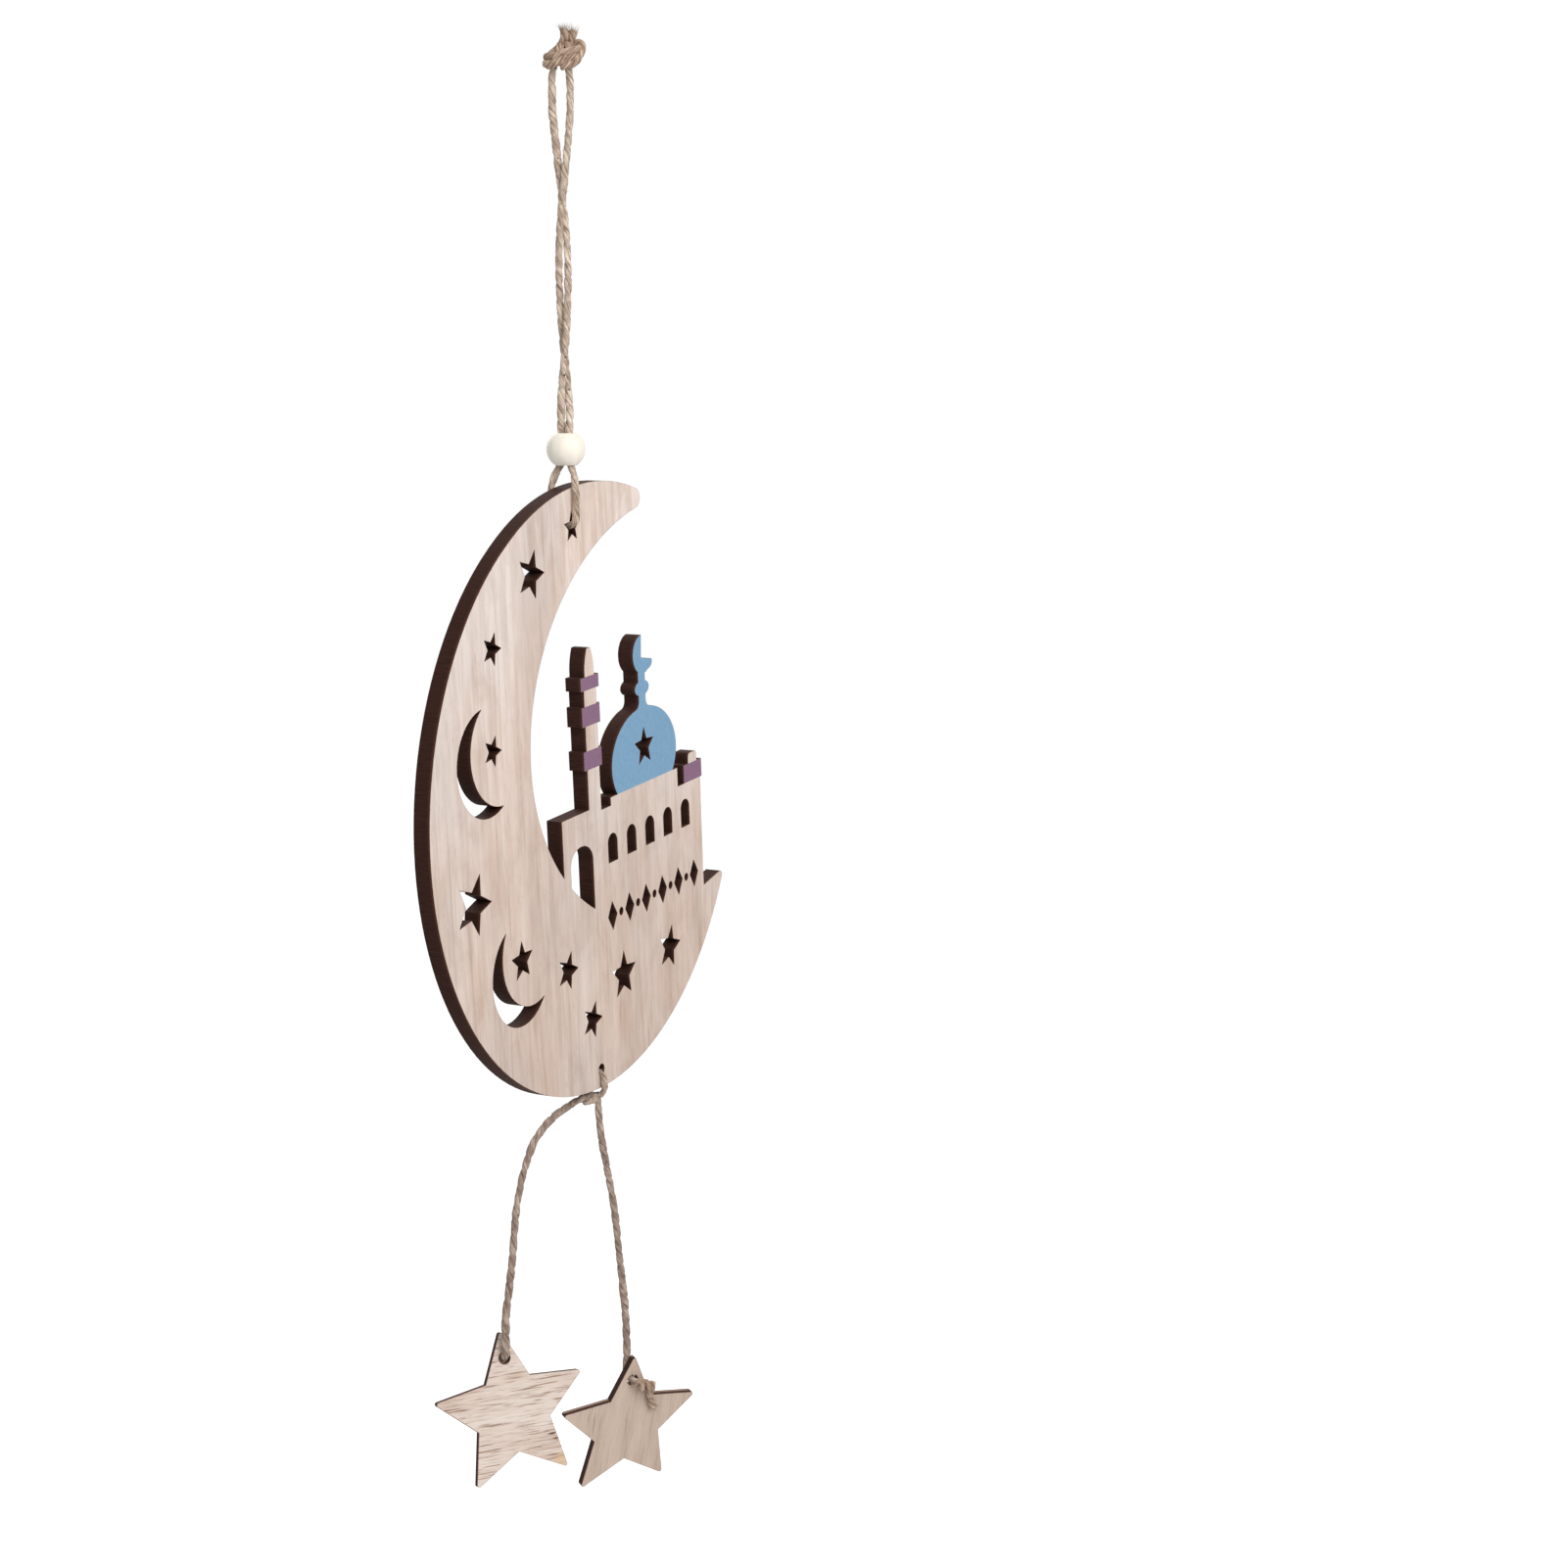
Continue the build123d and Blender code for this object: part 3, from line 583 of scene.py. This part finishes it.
# A small knot in the wood: its place in millimetres from the crescent's centre, its reach and its rings
WOOD_KNOT = (-54.0, 0.0, 37.0)
WOOD_KNOT_REACH = 6.0
RING_HEART = (0.84, 0.79, 0.76)
RING_PALE = (0.98, 0.97, 0.96)
RING_BROWN = (0.91, 0.88, 0.86)
# Painted light and shade: the sheet is painted browner at its foot and paler at its top, as light from
# above falls on it
LOW_PAINTED_SHADE = (0.935, 0.925, 0.915)
MIDDLE_PAINTED_LIGHT = (1.01, 1.015, 1.02)
TOP_PAINTED_LIGHT = (1.10, 1.135, 1.165)
BROWN_GRAIN = (0.80, 0.69, 0.62)
PALE_GRAIN = (1.10, 1.12, 1.13)
# Streaks, in millimetres from the crescent's centre: across, up, half width, half length, then strength
BROWN_STREAKS = [
    (11.0, 74.0, 0.7, 9.0, 0.55),
    (-12.0, 70.0, 1.6, 14.0, 0.45),
    (-17.5, 62.0, 1.2, 12.0, 0.40),
    (-12.5, 44.0, 1.2, 10.0, 0.35),
    (-52.0, -9.0, 3.0, 14.0, 0.40),
    (-62.0, -40.0, 3.0, 13.0, 0.35),
    (-20.0, -58.0, 1.0, 22.0, 0.45),
    (-10.0, -66.0, 1.4, 10.0, 0.45),
    (9.0, -66.0, 3.0, 10.0, 0.40),
    (20.0, -33.0, 3.0, 10.0, 0.35),
    (-3.0, -40.0, 1.2, 12.0, 0.40),
]
PALE_STREAKS = [
    (-27.0, -52.0, 2.2, 20.0, 0.75),
    (-15.0, -55.0, 1.2, 16.0, 0.45),
    (31.0, -42.0, 3.6, 16.0, 0.70),
    (-3.0, -9.0, 2.0, 12.0, 0.40),
    (3.0, 72.0, 3.0, 9.0, 0.40),
    (-46.0, 52.0, 3.0, 12.0, 0.35),
]
# A streak goes right through the sheet
STREAK_DEPTH = 50
CHAR_BLACK = (0.027, 0.0115, 0.0085)
CHAR_BROWN = (0.047, 0.0195, 0.014)
LIP_BROWN = (0.105, 0.044, 0.027, 1)
LIP_STRENGTH = 0.75
SCORCH = (0.20, 0.11, 0.075, 1)
BOARD_SCORCH_REACH = 0.0003
# A surface whose own normal is this near to square counts as a face, not as a cut wall
FACE_LIMIT = 0.5
DOME_BLUE = (0.205, 0.36, 0.52)
BAND_MAUVE = (0.25, 0.143, 0.215)
PAINT_THIN = (0.86, 0.90, 0.93)
PAINT_THICK = (1.1, 1.07, 1.05)
# Painted places on the board, in millimetres from the crescent's centre: left, right, low, high
DOME_FIELD = (6.6, 45.6, -3.1, 60.0)
BAND_FIELDS = [
    (-8.0, 3.5, 6.6, 11.6),
    (-8.0, 3.5, 18.1, 23.3),
    (-8.0, 3.5, 27.5, 31.05),
    (47.5, 60.0, -8.4, -3.3),
]


def within(tree, value, low, high):
    """1 where a value lies between two limits."""
    return reckoned(tree, "COMPARE", value, (low + high) / 2, (high - low) / 2)


def stretched(tree, value, low, high, top=1.0):
    """0 up to one value, then rising to the top at another."""
    span = {"Value": value, "From Min": low, "From Max": high, "To Min": 0.0, "To Max": top}
    return add_node(tree, "MapRange", span).outputs[0]


def painted_field(tree, across, up, field):
    """1 inside one painted rectangle of the face."""
    left, right, low, high = field
    return reckoned(tree, "MULTIPLY", within(tree, across, left, right), within(tree, up, low, high))


def own_place(tree, centre, turn):
    """A flat piece's own place, in millimetres from a point of it, whatever way it hangs."""
    place = add_node(tree, "TexCoord").outputs["Object"]
    scale = (MILLIMETRE, MILLIMETRE, MILLIMETRE)
    lie = {"Vector": place, "Location": centre, "Rotation": turn, "Scale": scale}
    return add_node(tree, "Mapping", lie, vector_type="TEXTURE").outputs[0]


def own_normal(tree, turn):
    """The way a surface faces, in the piece's own directions."""
    facing = add_node(tree, "TexCoord").outputs["Normal"]
    lie = {"Vector": facing, "Rotation": turn}
    return add_node(tree, "Mapping", lie, vector_type="TEXTURE").outputs[0]


def near_edge(tree, reach):
    """1 along a sharp edge, fading out over a short reach."""
    rounded = add_node(tree, "Bevel", {"Radius": reach}, samples=6).outputs[0]
    true = add_node(tree, "NewGeometry").outputs["True Normal"]
    same = add_node(tree, "VectorMath", {0: rounded, 1: true}, operation="DOT_PRODUCT").outputs["Value"]
    return stretched(tree, same, 1.0, 0.72)


def wood_streaks(tree, place, scale, detail, roughness=0.6, distortion=0.0):
    """Noise drawn out along the grain."""
    drawn = add_node(tree, "Mapping", {"Vector": place, "Scale": scale}).outputs[0]
    settings = {
        "Vector": drawn,
        "Scale": 1.0,
        "Detail": detail,
        "Roughness": roughness,
        "Distortion": distortion,
    }
    return add_node(tree, "TexNoise", settings).outputs["Fac"]


def streak_reach(tree, place, centre, halves, turn=(0, 0, 0)):
    """0 in the middle of one drawn-out streak, 1 at its rim."""
    lie = {"Vector": place, "Location": centre, "Rotation": turn, "Scale": halves}
    spot = add_node(tree, "Mapping", lie, vector_type="TEXTURE").outputs[0]
    return add_node(tree, "VectorMath", {0: spot}, operation="LENGTH").outputs["Value"]


def charred(tree, place, scale, depth, face):
    """The burnt wall of a laser cut: fine ridges across the sheet, browner by the face."""
    ridges = wood_streaks(tree, place, scale, 3.0)
    wall = colour_ramp(tree, ridges, (0.35, CHAR_BLACK), (0.68, CHAR_BROWN))
    lip = stretched(tree, depth, face * 0.6, face, LIP_STRENGTH)
    return blend_colour(tree, "MIX", lip, wall, LIP_BROWN), ridges


board_wood, tree = new_material("board_wood")
board_turn = (0, -radians(BOARD_TILT), 0)
place = own_place(tree, BOARD_CENTRE, board_turn)
axes = add_node(tree, "SeparateXYZ", {0: place}).outputs
broad = wood_streaks(tree, place, BROAD_GRAIN, 3.0, 0.55, 0.5)
tone = colour_ramp(tree, broad, (0.30, GRAIN_DARK), (0.48, GRAIN_MID), (0.66, GRAIN_PALE))
stripes = wood_streaks(tree, place, STRIPE_GRAIN, 4.0, 0.62, 0.9)
tone = tinted(tree, tone, stripes, (0.32, STRIPE_BROWN), (0.48, PLAIN), (0.66, STRIPE_PALE))
fine = wood_streaks(tree, place, FINE_GRAIN, 4.0, 0.65, 0.5)
tone = tinted(tree, tone, fine, (0.28, FIBRE_BROWN), (0.50, PLAIN), (0.75, FIBRE_PALE), amount=0.7)
pores = wood_streaks(tree, place, PORE_GRAIN, 2.0)
tone = tinted(tree, tone, pores, (0.25, PORE_BROWN), (0.34, PLAIN), amount=0.9)
clouds = wood_streaks(tree, place, CLOUD_GRAIN, 4.0, 0.65, 0.8)
tone = tinted(tree, tone, clouds, (0.34, CLOUD_BROWN), (0.50, PLAIN), (0.66, CLOUD_PALE))
blush = wood_streaks(tree, place, BLUSH_GRAIN, 2.0)
tone = tinted(tree, tone, blush, (0.36, BLUSH_WARM), (0.64, BLUSH_COOL))
from_knot = add_node(tree, "VectorMath", {0: place, 1: WOOD_KNOT}, operation="DISTANCE").outputs["Value"]
tone = tinted(
    tree,
    tone,
    stretched(tree, from_knot, 0.0, WOOD_KNOT_REACH),
    (0.0, RING_HEART),
    (0.3, RING_PALE),
    (0.52, RING_BROWN),
    (0.85, PLAIN),
)
for streaks, streak_tone in ((BROWN_STREAKS, BROWN_GRAIN), (PALE_STREAKS, PALE_GRAIN)):
    for across, up, wide, long, strength in streaks:
        reach = streak_reach(tree, place, (across, 0, up), (wide, STREAK_DEPTH, long))
        ragged = reckoned(tree, "MULTIPLY", reach, fine)
        tone = tinted(tree, tone, ragged, (0.10, streak_tone), (0.55, PLAIN), amount=strength)
# Painted light and shade: darker low on the board, paler towards its top
painted_light_rise = stretched(tree, axes["Z"], -BOARD_RADIUS, BOARD_RADIUS)
tone = tinted(tree, tone, painted_light_rise, (0.12, LOW_PAINTED_SHADE), (0.55, MIDDLE_PAINTED_LIGHT), (0.85, TOP_PAINTED_LIGHT))
facing = add_node(tree, "SeparateXYZ", {0: own_normal(tree, board_turn)}).outputs["Y"]
front = reckoned(tree, "LESS_THAN", facing, -FACE_LIMIT)
flat_side = reckoned(tree, "GREATER_THAN", reckoned(tree, "ABSOLUTE", facing), FACE_LIMIT)
dabs = {"Vector": place, "Scale": 1.1, "Detail": 4.0, "Roughness": 0.7}
dabs = add_node(tree, "TexNoise", dabs).outputs["Fac"]
for fields, paint in (([DOME_FIELD], DOME_BLUE), (BAND_FIELDS, BAND_MAUVE)):
    coat = tinted(tree, (*paint, 1), dabs, (0.3, PAINT_THIN), (0.7, PAINT_THICK))
    for field in fields:
        here = reckoned(tree, "MULTIPLY", painted_field(tree, axes["X"], axes["Z"], field), front)
        tone = blend_colour(tree, "MIX", here, tone, coat)
tone = blend_colour(tree, "MIX", near_edge(tree, BOARD_SCORCH_REACH), tone, SCORCH)
char, ridges = charred(tree, place, CHAR_RIDGES, axes["Y"], BOARD_FACE)
tone = blend_colour(tree, "MIX", flat_side, char, tone)
height = add_node(tree, "Mix", {0: flat_side, 2: ridges, 3: fine}).outputs[0]
finish_surface(tree, tone, height, relief=0.2, depth=0.0002, roughness=0.78, gloss=0.07)
dress_node("crescent_panel", board_wood)

# Tail hitch: the tails' jute twine goes through the round hole, over both faces and round the rim.
# Below the rim it is tied round the left tail, and its short end lies along that tail.
HITCH_KNOT = Vector((0.01206, 0.0008, -0.2641))
HITCH_ROUTE = [
    (0.0106, 0.0012, -0.2645),
    (0.0119, 0.0002, -0.2646),
    (0.0124, -0.0014, -0.2636),
    (0.0120, -0.0025, -0.2618),
    (0.0117, -0.0024, -0.2599),
    (0.0116, -0.0023, -0.2584),
    (0.0119, -0.0010, -0.2575),
    (0.0120, 0.0008, -0.2574),
    (0.0120, 0.0027, -0.2575),
    (0.0121, 0.0040, -0.2586),
    (0.0122, 0.0041, -0.2606),
    (0.0121, 0.0034, -0.2628),
    (0.0115, 0.0018, -0.2641),
    (0.0107, 0.0004, -0.2637),
]
SHORT_END = [
    (0.0118, 0.0002, -0.2640),
    (0.0104, -0.0002, -0.2649),
    (0.0086, 0.0004, -0.2647),
    (0.0066, 0.0006, -0.2643),
]
HITCH_SEED = 41
HITCH_FUZZ_SEED = 51
HITCH_FRAY_SEED = 61
HITCH_FRAYS = 30
HITCH_FRAY_LENGTH = 0.0014

# The hitch is the same jute, given a darker copy of the loop's colours: painted shade
shaded_hitch_jute = jute("shaded_hitch_jute", (0.18, 0.12, 0.086), (0.45, 0.35, 0.285), (0.68, 0.565, 0.475))
hitch_shape = ([], [], [])
for number, route in enumerate((HITCH_ROUTE, SHORT_END)):
    line = spline_points(route)
    add_plies(hitch_shape, line, HITCH_SEED + number)
    add_fuzz(hitch_shape, line, HITCH_FUZZ_SEED + number)
    if route is SHORT_END:
        add_fray(hitch_shape, line, HITCH_FRAY_SEED, HITCH_FRAYS, HITCH_FRAY_LENGTH)
tail_hitch = twine_piece("tail_hitch_loop", hitch_shape, shaded_hitch_jute)
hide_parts("tail_hitch")
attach(tail_hitch, "panel")

# Stars: two small stars cut by laser from thin ply, each with a hole in its top arm.
# The left one is rough and streaked across, the right one greyer with a soft upright grain.
STAR_FACE = 1.0
# Each star hangs by its hole; its turn about the upright, its lean and its roll are in degrees
LEFT_HOLE = Vector((-0.0250205, 0.00777277, -0.3257))
RIGHT_HOLE = Vector((0.0195811, -0.00527397, -0.345228))
LEFT_POSE = (-39.5, -13.9, 3.7)
RIGHT_POSE = (-34.3, 9.5, -2.0)
# How often each layer of the stars' grain changes in a millimetre: along, across and through
STAR_BROAD_GRAIN = (0.03, 0.22, 0.2)
STAR_FINE_GRAIN = (0.3, 3.4, 0.5)
STAR_RIDGES = (2.6, 2.6, 0.3)
STAR_FIBRE_BROWN = (0.86, 0.83, 0.80)
STAR_DASH_PALE = (1.06, 1.06, 1.06)
STAR_SCORCH_REACH = 0.00042
# Back-ply line painted paler on upward-facing edges only: painted light from above
PLY_LINE_PAINTED_LIGHT = (0.30, 0.20, 0.15, 1)
BURN = (0.20, 0.10, 0.055)
BROWN_STREAK = (0.83, 0.72, 0.65)
RESIN = (1.0, 0.89, 0.70)
# Marks, in millimetres from the hole: across, up, half length, half width, then strength and colour
LEFT_MARKS = [
    (2.2, -5.2, 5.0, 1.5, 0.7, BROWN_STREAK),
    (3.0, -4.5, 2.8, 0.35, 0.4, BURN),
    (1.4, -5.5, 3.4, 0.3, 0.4, BURN),
    (0.6, -6.4, 2.2, 0.3, 0.4, BURN),
    (-5.2, -6.3, 3.0, 0.35, 0.45, BURN),
    (9.5, -21.9, 1.5, 0.4, 1.0, BURN),
    (10.5, -23.3, 1.3, 0.35, 0.9, BURN),
    (7.2, -12.6, 1.8, 0.25, 0.6, BURN),
    (-1.2, -12.0, 2.2, 0.25, 0.5, BURN),
    (-7.8, -15.6, 2.4, 0.3, 0.5, BURN),
    (9.0, -27.3, 2.2, 0.3, 0.6, BURN),
    (10.8, -28.9, 2.6, 2.6, 1.0, RESIN),
]
RIGHT_MARKS = [
    (-10.5, -11.5, 5.0, 0.4, 0.34, BURN),
    (-12.4, -9.6, 3.2, 0.3, 0.34, BURN),
    (-8.7, -12.5, 4.0, 0.35, 0.2, BURN),
]


def star_turn(pose):
    """How a star hangs: its own X runs to its right, Y up along it, Z out of its face."""
    turn, lean, roll = (radians(value) for value in pose)
    upright = Matrix.Rotation(turn, 3, "Z") @ Matrix.Rotation(lean + pi / 2, 3, "X")
    return upright @ Matrix.Rotation(roll, 3, "Z")


def star_wood(name, hole, pose, grain_turn, tones, dash_grain, dash_brown, marks, ply_painted_light):
    """Laser-cut ply: grain on both faces, charred edges, the back ply painted paler along the
    upward-facing edges as painted light from above.
    """
    material, tree = new_material(name)
    turn = star_turn(pose).to_euler()
    place = own_place(tree, hole, turn)
    along = (0, 0, radians(grain_turn))
    grain = add_node(tree, "Mapping", {"Vector": place, "Rotation": along}).outputs[0]
    broad = wood_streaks(tree, grain, STAR_BROAD_GRAIN, 3.0, 0.55, 0.3)
    tone = colour_ramp(tree, broad, (0.32, tones[0]), (0.48, tones[1]), (0.66, tones[2]))
    dashes = wood_streaks(tree, grain, dash_grain, 3.0, 0.55, 0.5)
    tone = tinted(tree, tone, dashes, (0.32, dash_brown), (0.45, PLAIN), (0.66, STAR_DASH_PALE))
    fine = wood_streaks(tree, grain, STAR_FINE_GRAIN, 3.0, 0.6)
    tone = tinted(tree, tone, fine, (0.3, STAR_FIBRE_BROWN), (0.5, PLAIN), amount=0.8)
    back_turn = (0, 0, -radians(grain_turn))
    for across, up, long, wide, strength, colour in marks:
        reach = streak_reach(tree, place, (across, up, 0), (long, wide, STREAK_DEPTH), back_turn)
        tone = tinted(tree, tone, reach, (0.3, colour), (1.0, PLAIN), amount=strength)
    tone = blend_colour(tree, "MIX", near_edge(tree, STAR_SCORCH_REACH), tone, SCORCH)
    facing = add_node(tree, "SeparateXYZ", {0: own_normal(tree, turn)}).outputs
    flat_side = reckoned(tree, "GREATER_THAN", reckoned(tree, "ABSOLUTE", facing["Z"]), FACE_LIMIT)
    depth = add_node(tree, "SeparateXYZ", {0: place}).outputs["Z"]
    char, ridges = charred(tree, place, STAR_RIDGES, depth, STAR_FACE)
    back_ply = within(tree, depth, -STAR_FACE * 0.9, -STAR_FACE * 0.1)
    # Painted light: the back ply shows paler only where the edge faces up
    upper_painted_light = stretched(tree, facing["Y"], 0.6, 0.85, ply_painted_light)
    char = blend_colour(tree, "MIX", reckoned(tree, "MULTIPLY", back_ply, upper_painted_light), char, PLY_LINE_PAINTED_LIGHT)
    tone = blend_colour(tree, "MIX", flat_side, char, tone)
    height = add_node(tree, "Mix", {0: flat_side, 2: ridges, 3: dashes}).outputs[0]
    finish_surface(tree, tone, height, relief=0.35, depth=0.0002, roughness=0.82, gloss=0.15)
    return material


left_wood = star_wood(
    "left_star_wood",
    LEFT_HOLE,
    LEFT_POSE,
    grain_turn=4.2,
    tones=[(0.575, 0.45, 0.375), (0.68, 0.565, 0.495), (0.72, 0.625, 0.555)],
    dash_grain=(0.14, 2.9, 0.4),
    dash_brown=(0.45, 0.335, 0.265),
    marks=LEFT_MARKS,
    ply_painted_light=0.15,
)
right_wood = star_wood(
    "right_star_wood",
    RIGHT_HOLE,
    RIGHT_POSE,
    grain_turn=93.0,
    tones=[(0.485, 0.375, 0.30), (0.54, 0.423, 0.343), (0.57, 0.457, 0.377)],
    dash_grain=(0.05, 1.1, 0.4),
    dash_brown=(0.85, 0.80, 0.76),
    marks=RIGHT_MARKS,
    ply_painted_light=0.9,
)
dress_node("left_star", left_wood)
dress_node("right_star", right_wood)

# Tails: two free ends of jute twine from the hitch. Each hangs to its star, goes through the hole
# and ends in an overhand knot, behind the left star and in front of the right one.
# Each tail's route, from the middle of the hitch
LEFT_TAIL_ROUTE = [
    (-0.0004, 0.0002, 0.0003),
    (-0.0066, 0.0005, 0.0008),
    (-0.0114, 0.0007, 0.0004),
    (-0.0200, 0.0013, -0.0009),
    (-0.0270, 0.0020, -0.0041),
    (-0.0308, 0.0028, -0.0099),
    (-0.0334, 0.0035, -0.0168),
    (-0.0348, 0.0041, -0.0245),
    (-0.0352, 0.0046, -0.0336),
    (-0.0370, 0.0050, -0.0438),
    (-0.0384, 0.0052, -0.0493),
    (-0.0385, 0.00525, -0.0532),
]
RIGHT_TAIL_ROUTE = [
    (0.0002, -0.0007, 0.0008),
    (0.0002, -0.0010, -0.0030),
    (0.0009, -0.0009, -0.0074),
    (0.0019, -0.0014, -0.0155),
    (0.0043, -0.0020, -0.0250),
    (0.0062, -0.0026, -0.0353),
    (0.0069, -0.0031, -0.0456),
    (0.0083, -0.0036, -0.0564),
    (0.0088, -0.0041, -0.0666),
    (0.0088, -0.0042, -0.0729),
]
TAIL_FLARE = 0.25
# The last point of a tail before its hole lies this much above it
LEAD_HEIGHT = 0.0028
# How each tail goes through its hole, its knot's coil beside the hole and its cut end: in the star's
# own millimetres to the right, up and out
LEFT_THROUGH = [(0, 0.6, 2.2), (0, 0.45, 0), (0.1, 0.2, -1.9)]
RIGHT_THROUGH = [(-0.4, 0.6, -2.2), (-0.45, 0.4, 0), (-0.2, 0.15, 1.9)]
LEFT_COIL = [(0.4, -0.2, -2.85), (0.2, -4.0, -2.85)]
LEFT_CUT_END = [(-0.6, -5.6, -2.6), (-0.2, -7.4, -2.3)]
RIGHT_COIL = [(0.6, -0.5, 2.85), (5.4, -2.1, 2.85)]
RIGHT_CUT_END = [(5.0, -3.8, 2.7), (5.2, -5.4, 2.4), (6.0, -7.2, 2.1), (6.9, -9.0, 1.9)]
COIL_RADIUS = 0.95
COIL_TURNS = 2.25
COIL_POINTS = 19
STOPPER_FRAYS = 40
STOPPER_FRAY_LENGTH = 0.0018
LEFT_SEED = 71
RIGHT_SEED = 81


def star_point(hole, turn, place):
    """A place by a star's hole, from the star's own millimetres."""
    return hole + turn @ Vector(place) * MILLIMETRE


def coil_route(start, end):
    """The turns of a stopper knot along its own line, in a star's own millimetres."""
    start = Vector(start)
    end = Vector(end)
    along = (end - start).normalized()
    out = Vector((0, 0, 1 if start.z > 0 else -1))
    across = out.cross(along)
    route = []
    for i in range(COIL_POINTS):
        t = i / (COIL_POINTS - 1)
        angle = 2 * pi * COIL_TURNS * t - pi / 2
        route.append(start.lerp(end, t) + (across * cos(angle) + out * sin(angle)) * COIL_RADIUS)
    return route


def hang_tail(side, hole, pose, route, through, coil, cut_end, seed):
    """One tail: its twine from the hitch through the star's hole, and the stopper knot that holds it."""
    turn = star_turn(pose)
    tail = [HITCH_KNOT + Vector(offset) for offset in route]
    top = tail[-1].copy()
    tail.append(Vector((top.x, top.y, hole.z + LEAD_HEIGHT)))
    knot = [star_point(hole, turn, place) for place in coil_route(*coil)]
    tail += [star_point(hole, turn, place) for place in through]
    line = spline_points(tail + knot[:1])
    shape = ([], [], [])
    add_plies(shape, line, seed, flare=TAIL_FLARE)
    add_fuzz(shape, line, seed + 1)
    twine = twine_piece(side + "_tail_twine", shape, shaded_tail_jute)
    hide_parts(side + "_tail_cord")
    knot_line = spline_points(knot + [star_point(hole, turn, place) for place in cut_end])
    shape = ([], [], [])
    add_plies(shape, knot_line, seed + 2)
    add_fuzz(shape, knot_line, seed + 3)
    add_fray(shape, knot_line, seed + 4, STOPPER_FRAYS, STOPPER_FRAY_LENGTH)
    stopper = twine_piece(side + "_star_stopper", shape, shaded_knot_jute)
    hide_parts(side + "_star_knot")
    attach(stopper, side + "_star")
    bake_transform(twine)


# The tails are the same jute, given a darker, greyer copy of the loop's colours: painted shade
shaded_tail_jute = jute("shaded_tail_jute", (0.14, 0.091, 0.069), (0.33, 0.246, 0.20), (0.51, 0.41, 0.345))
hang_tail(
    "left",
    LEFT_HOLE,
    LEFT_POSE,
    LEFT_TAIL_ROUTE,
    LEFT_THROUGH,
    LEFT_COIL,
    LEFT_CUT_END,
    LEFT_SEED,
)
hang_tail(
    "right",
    RIGHT_HOLE,
    RIGHT_POSE,
    RIGHT_TAIL_ROUTE,
    RIGHT_THROUGH,
    RIGHT_COIL,
    RIGHT_CUT_END,
    RIGHT_SEED,
)
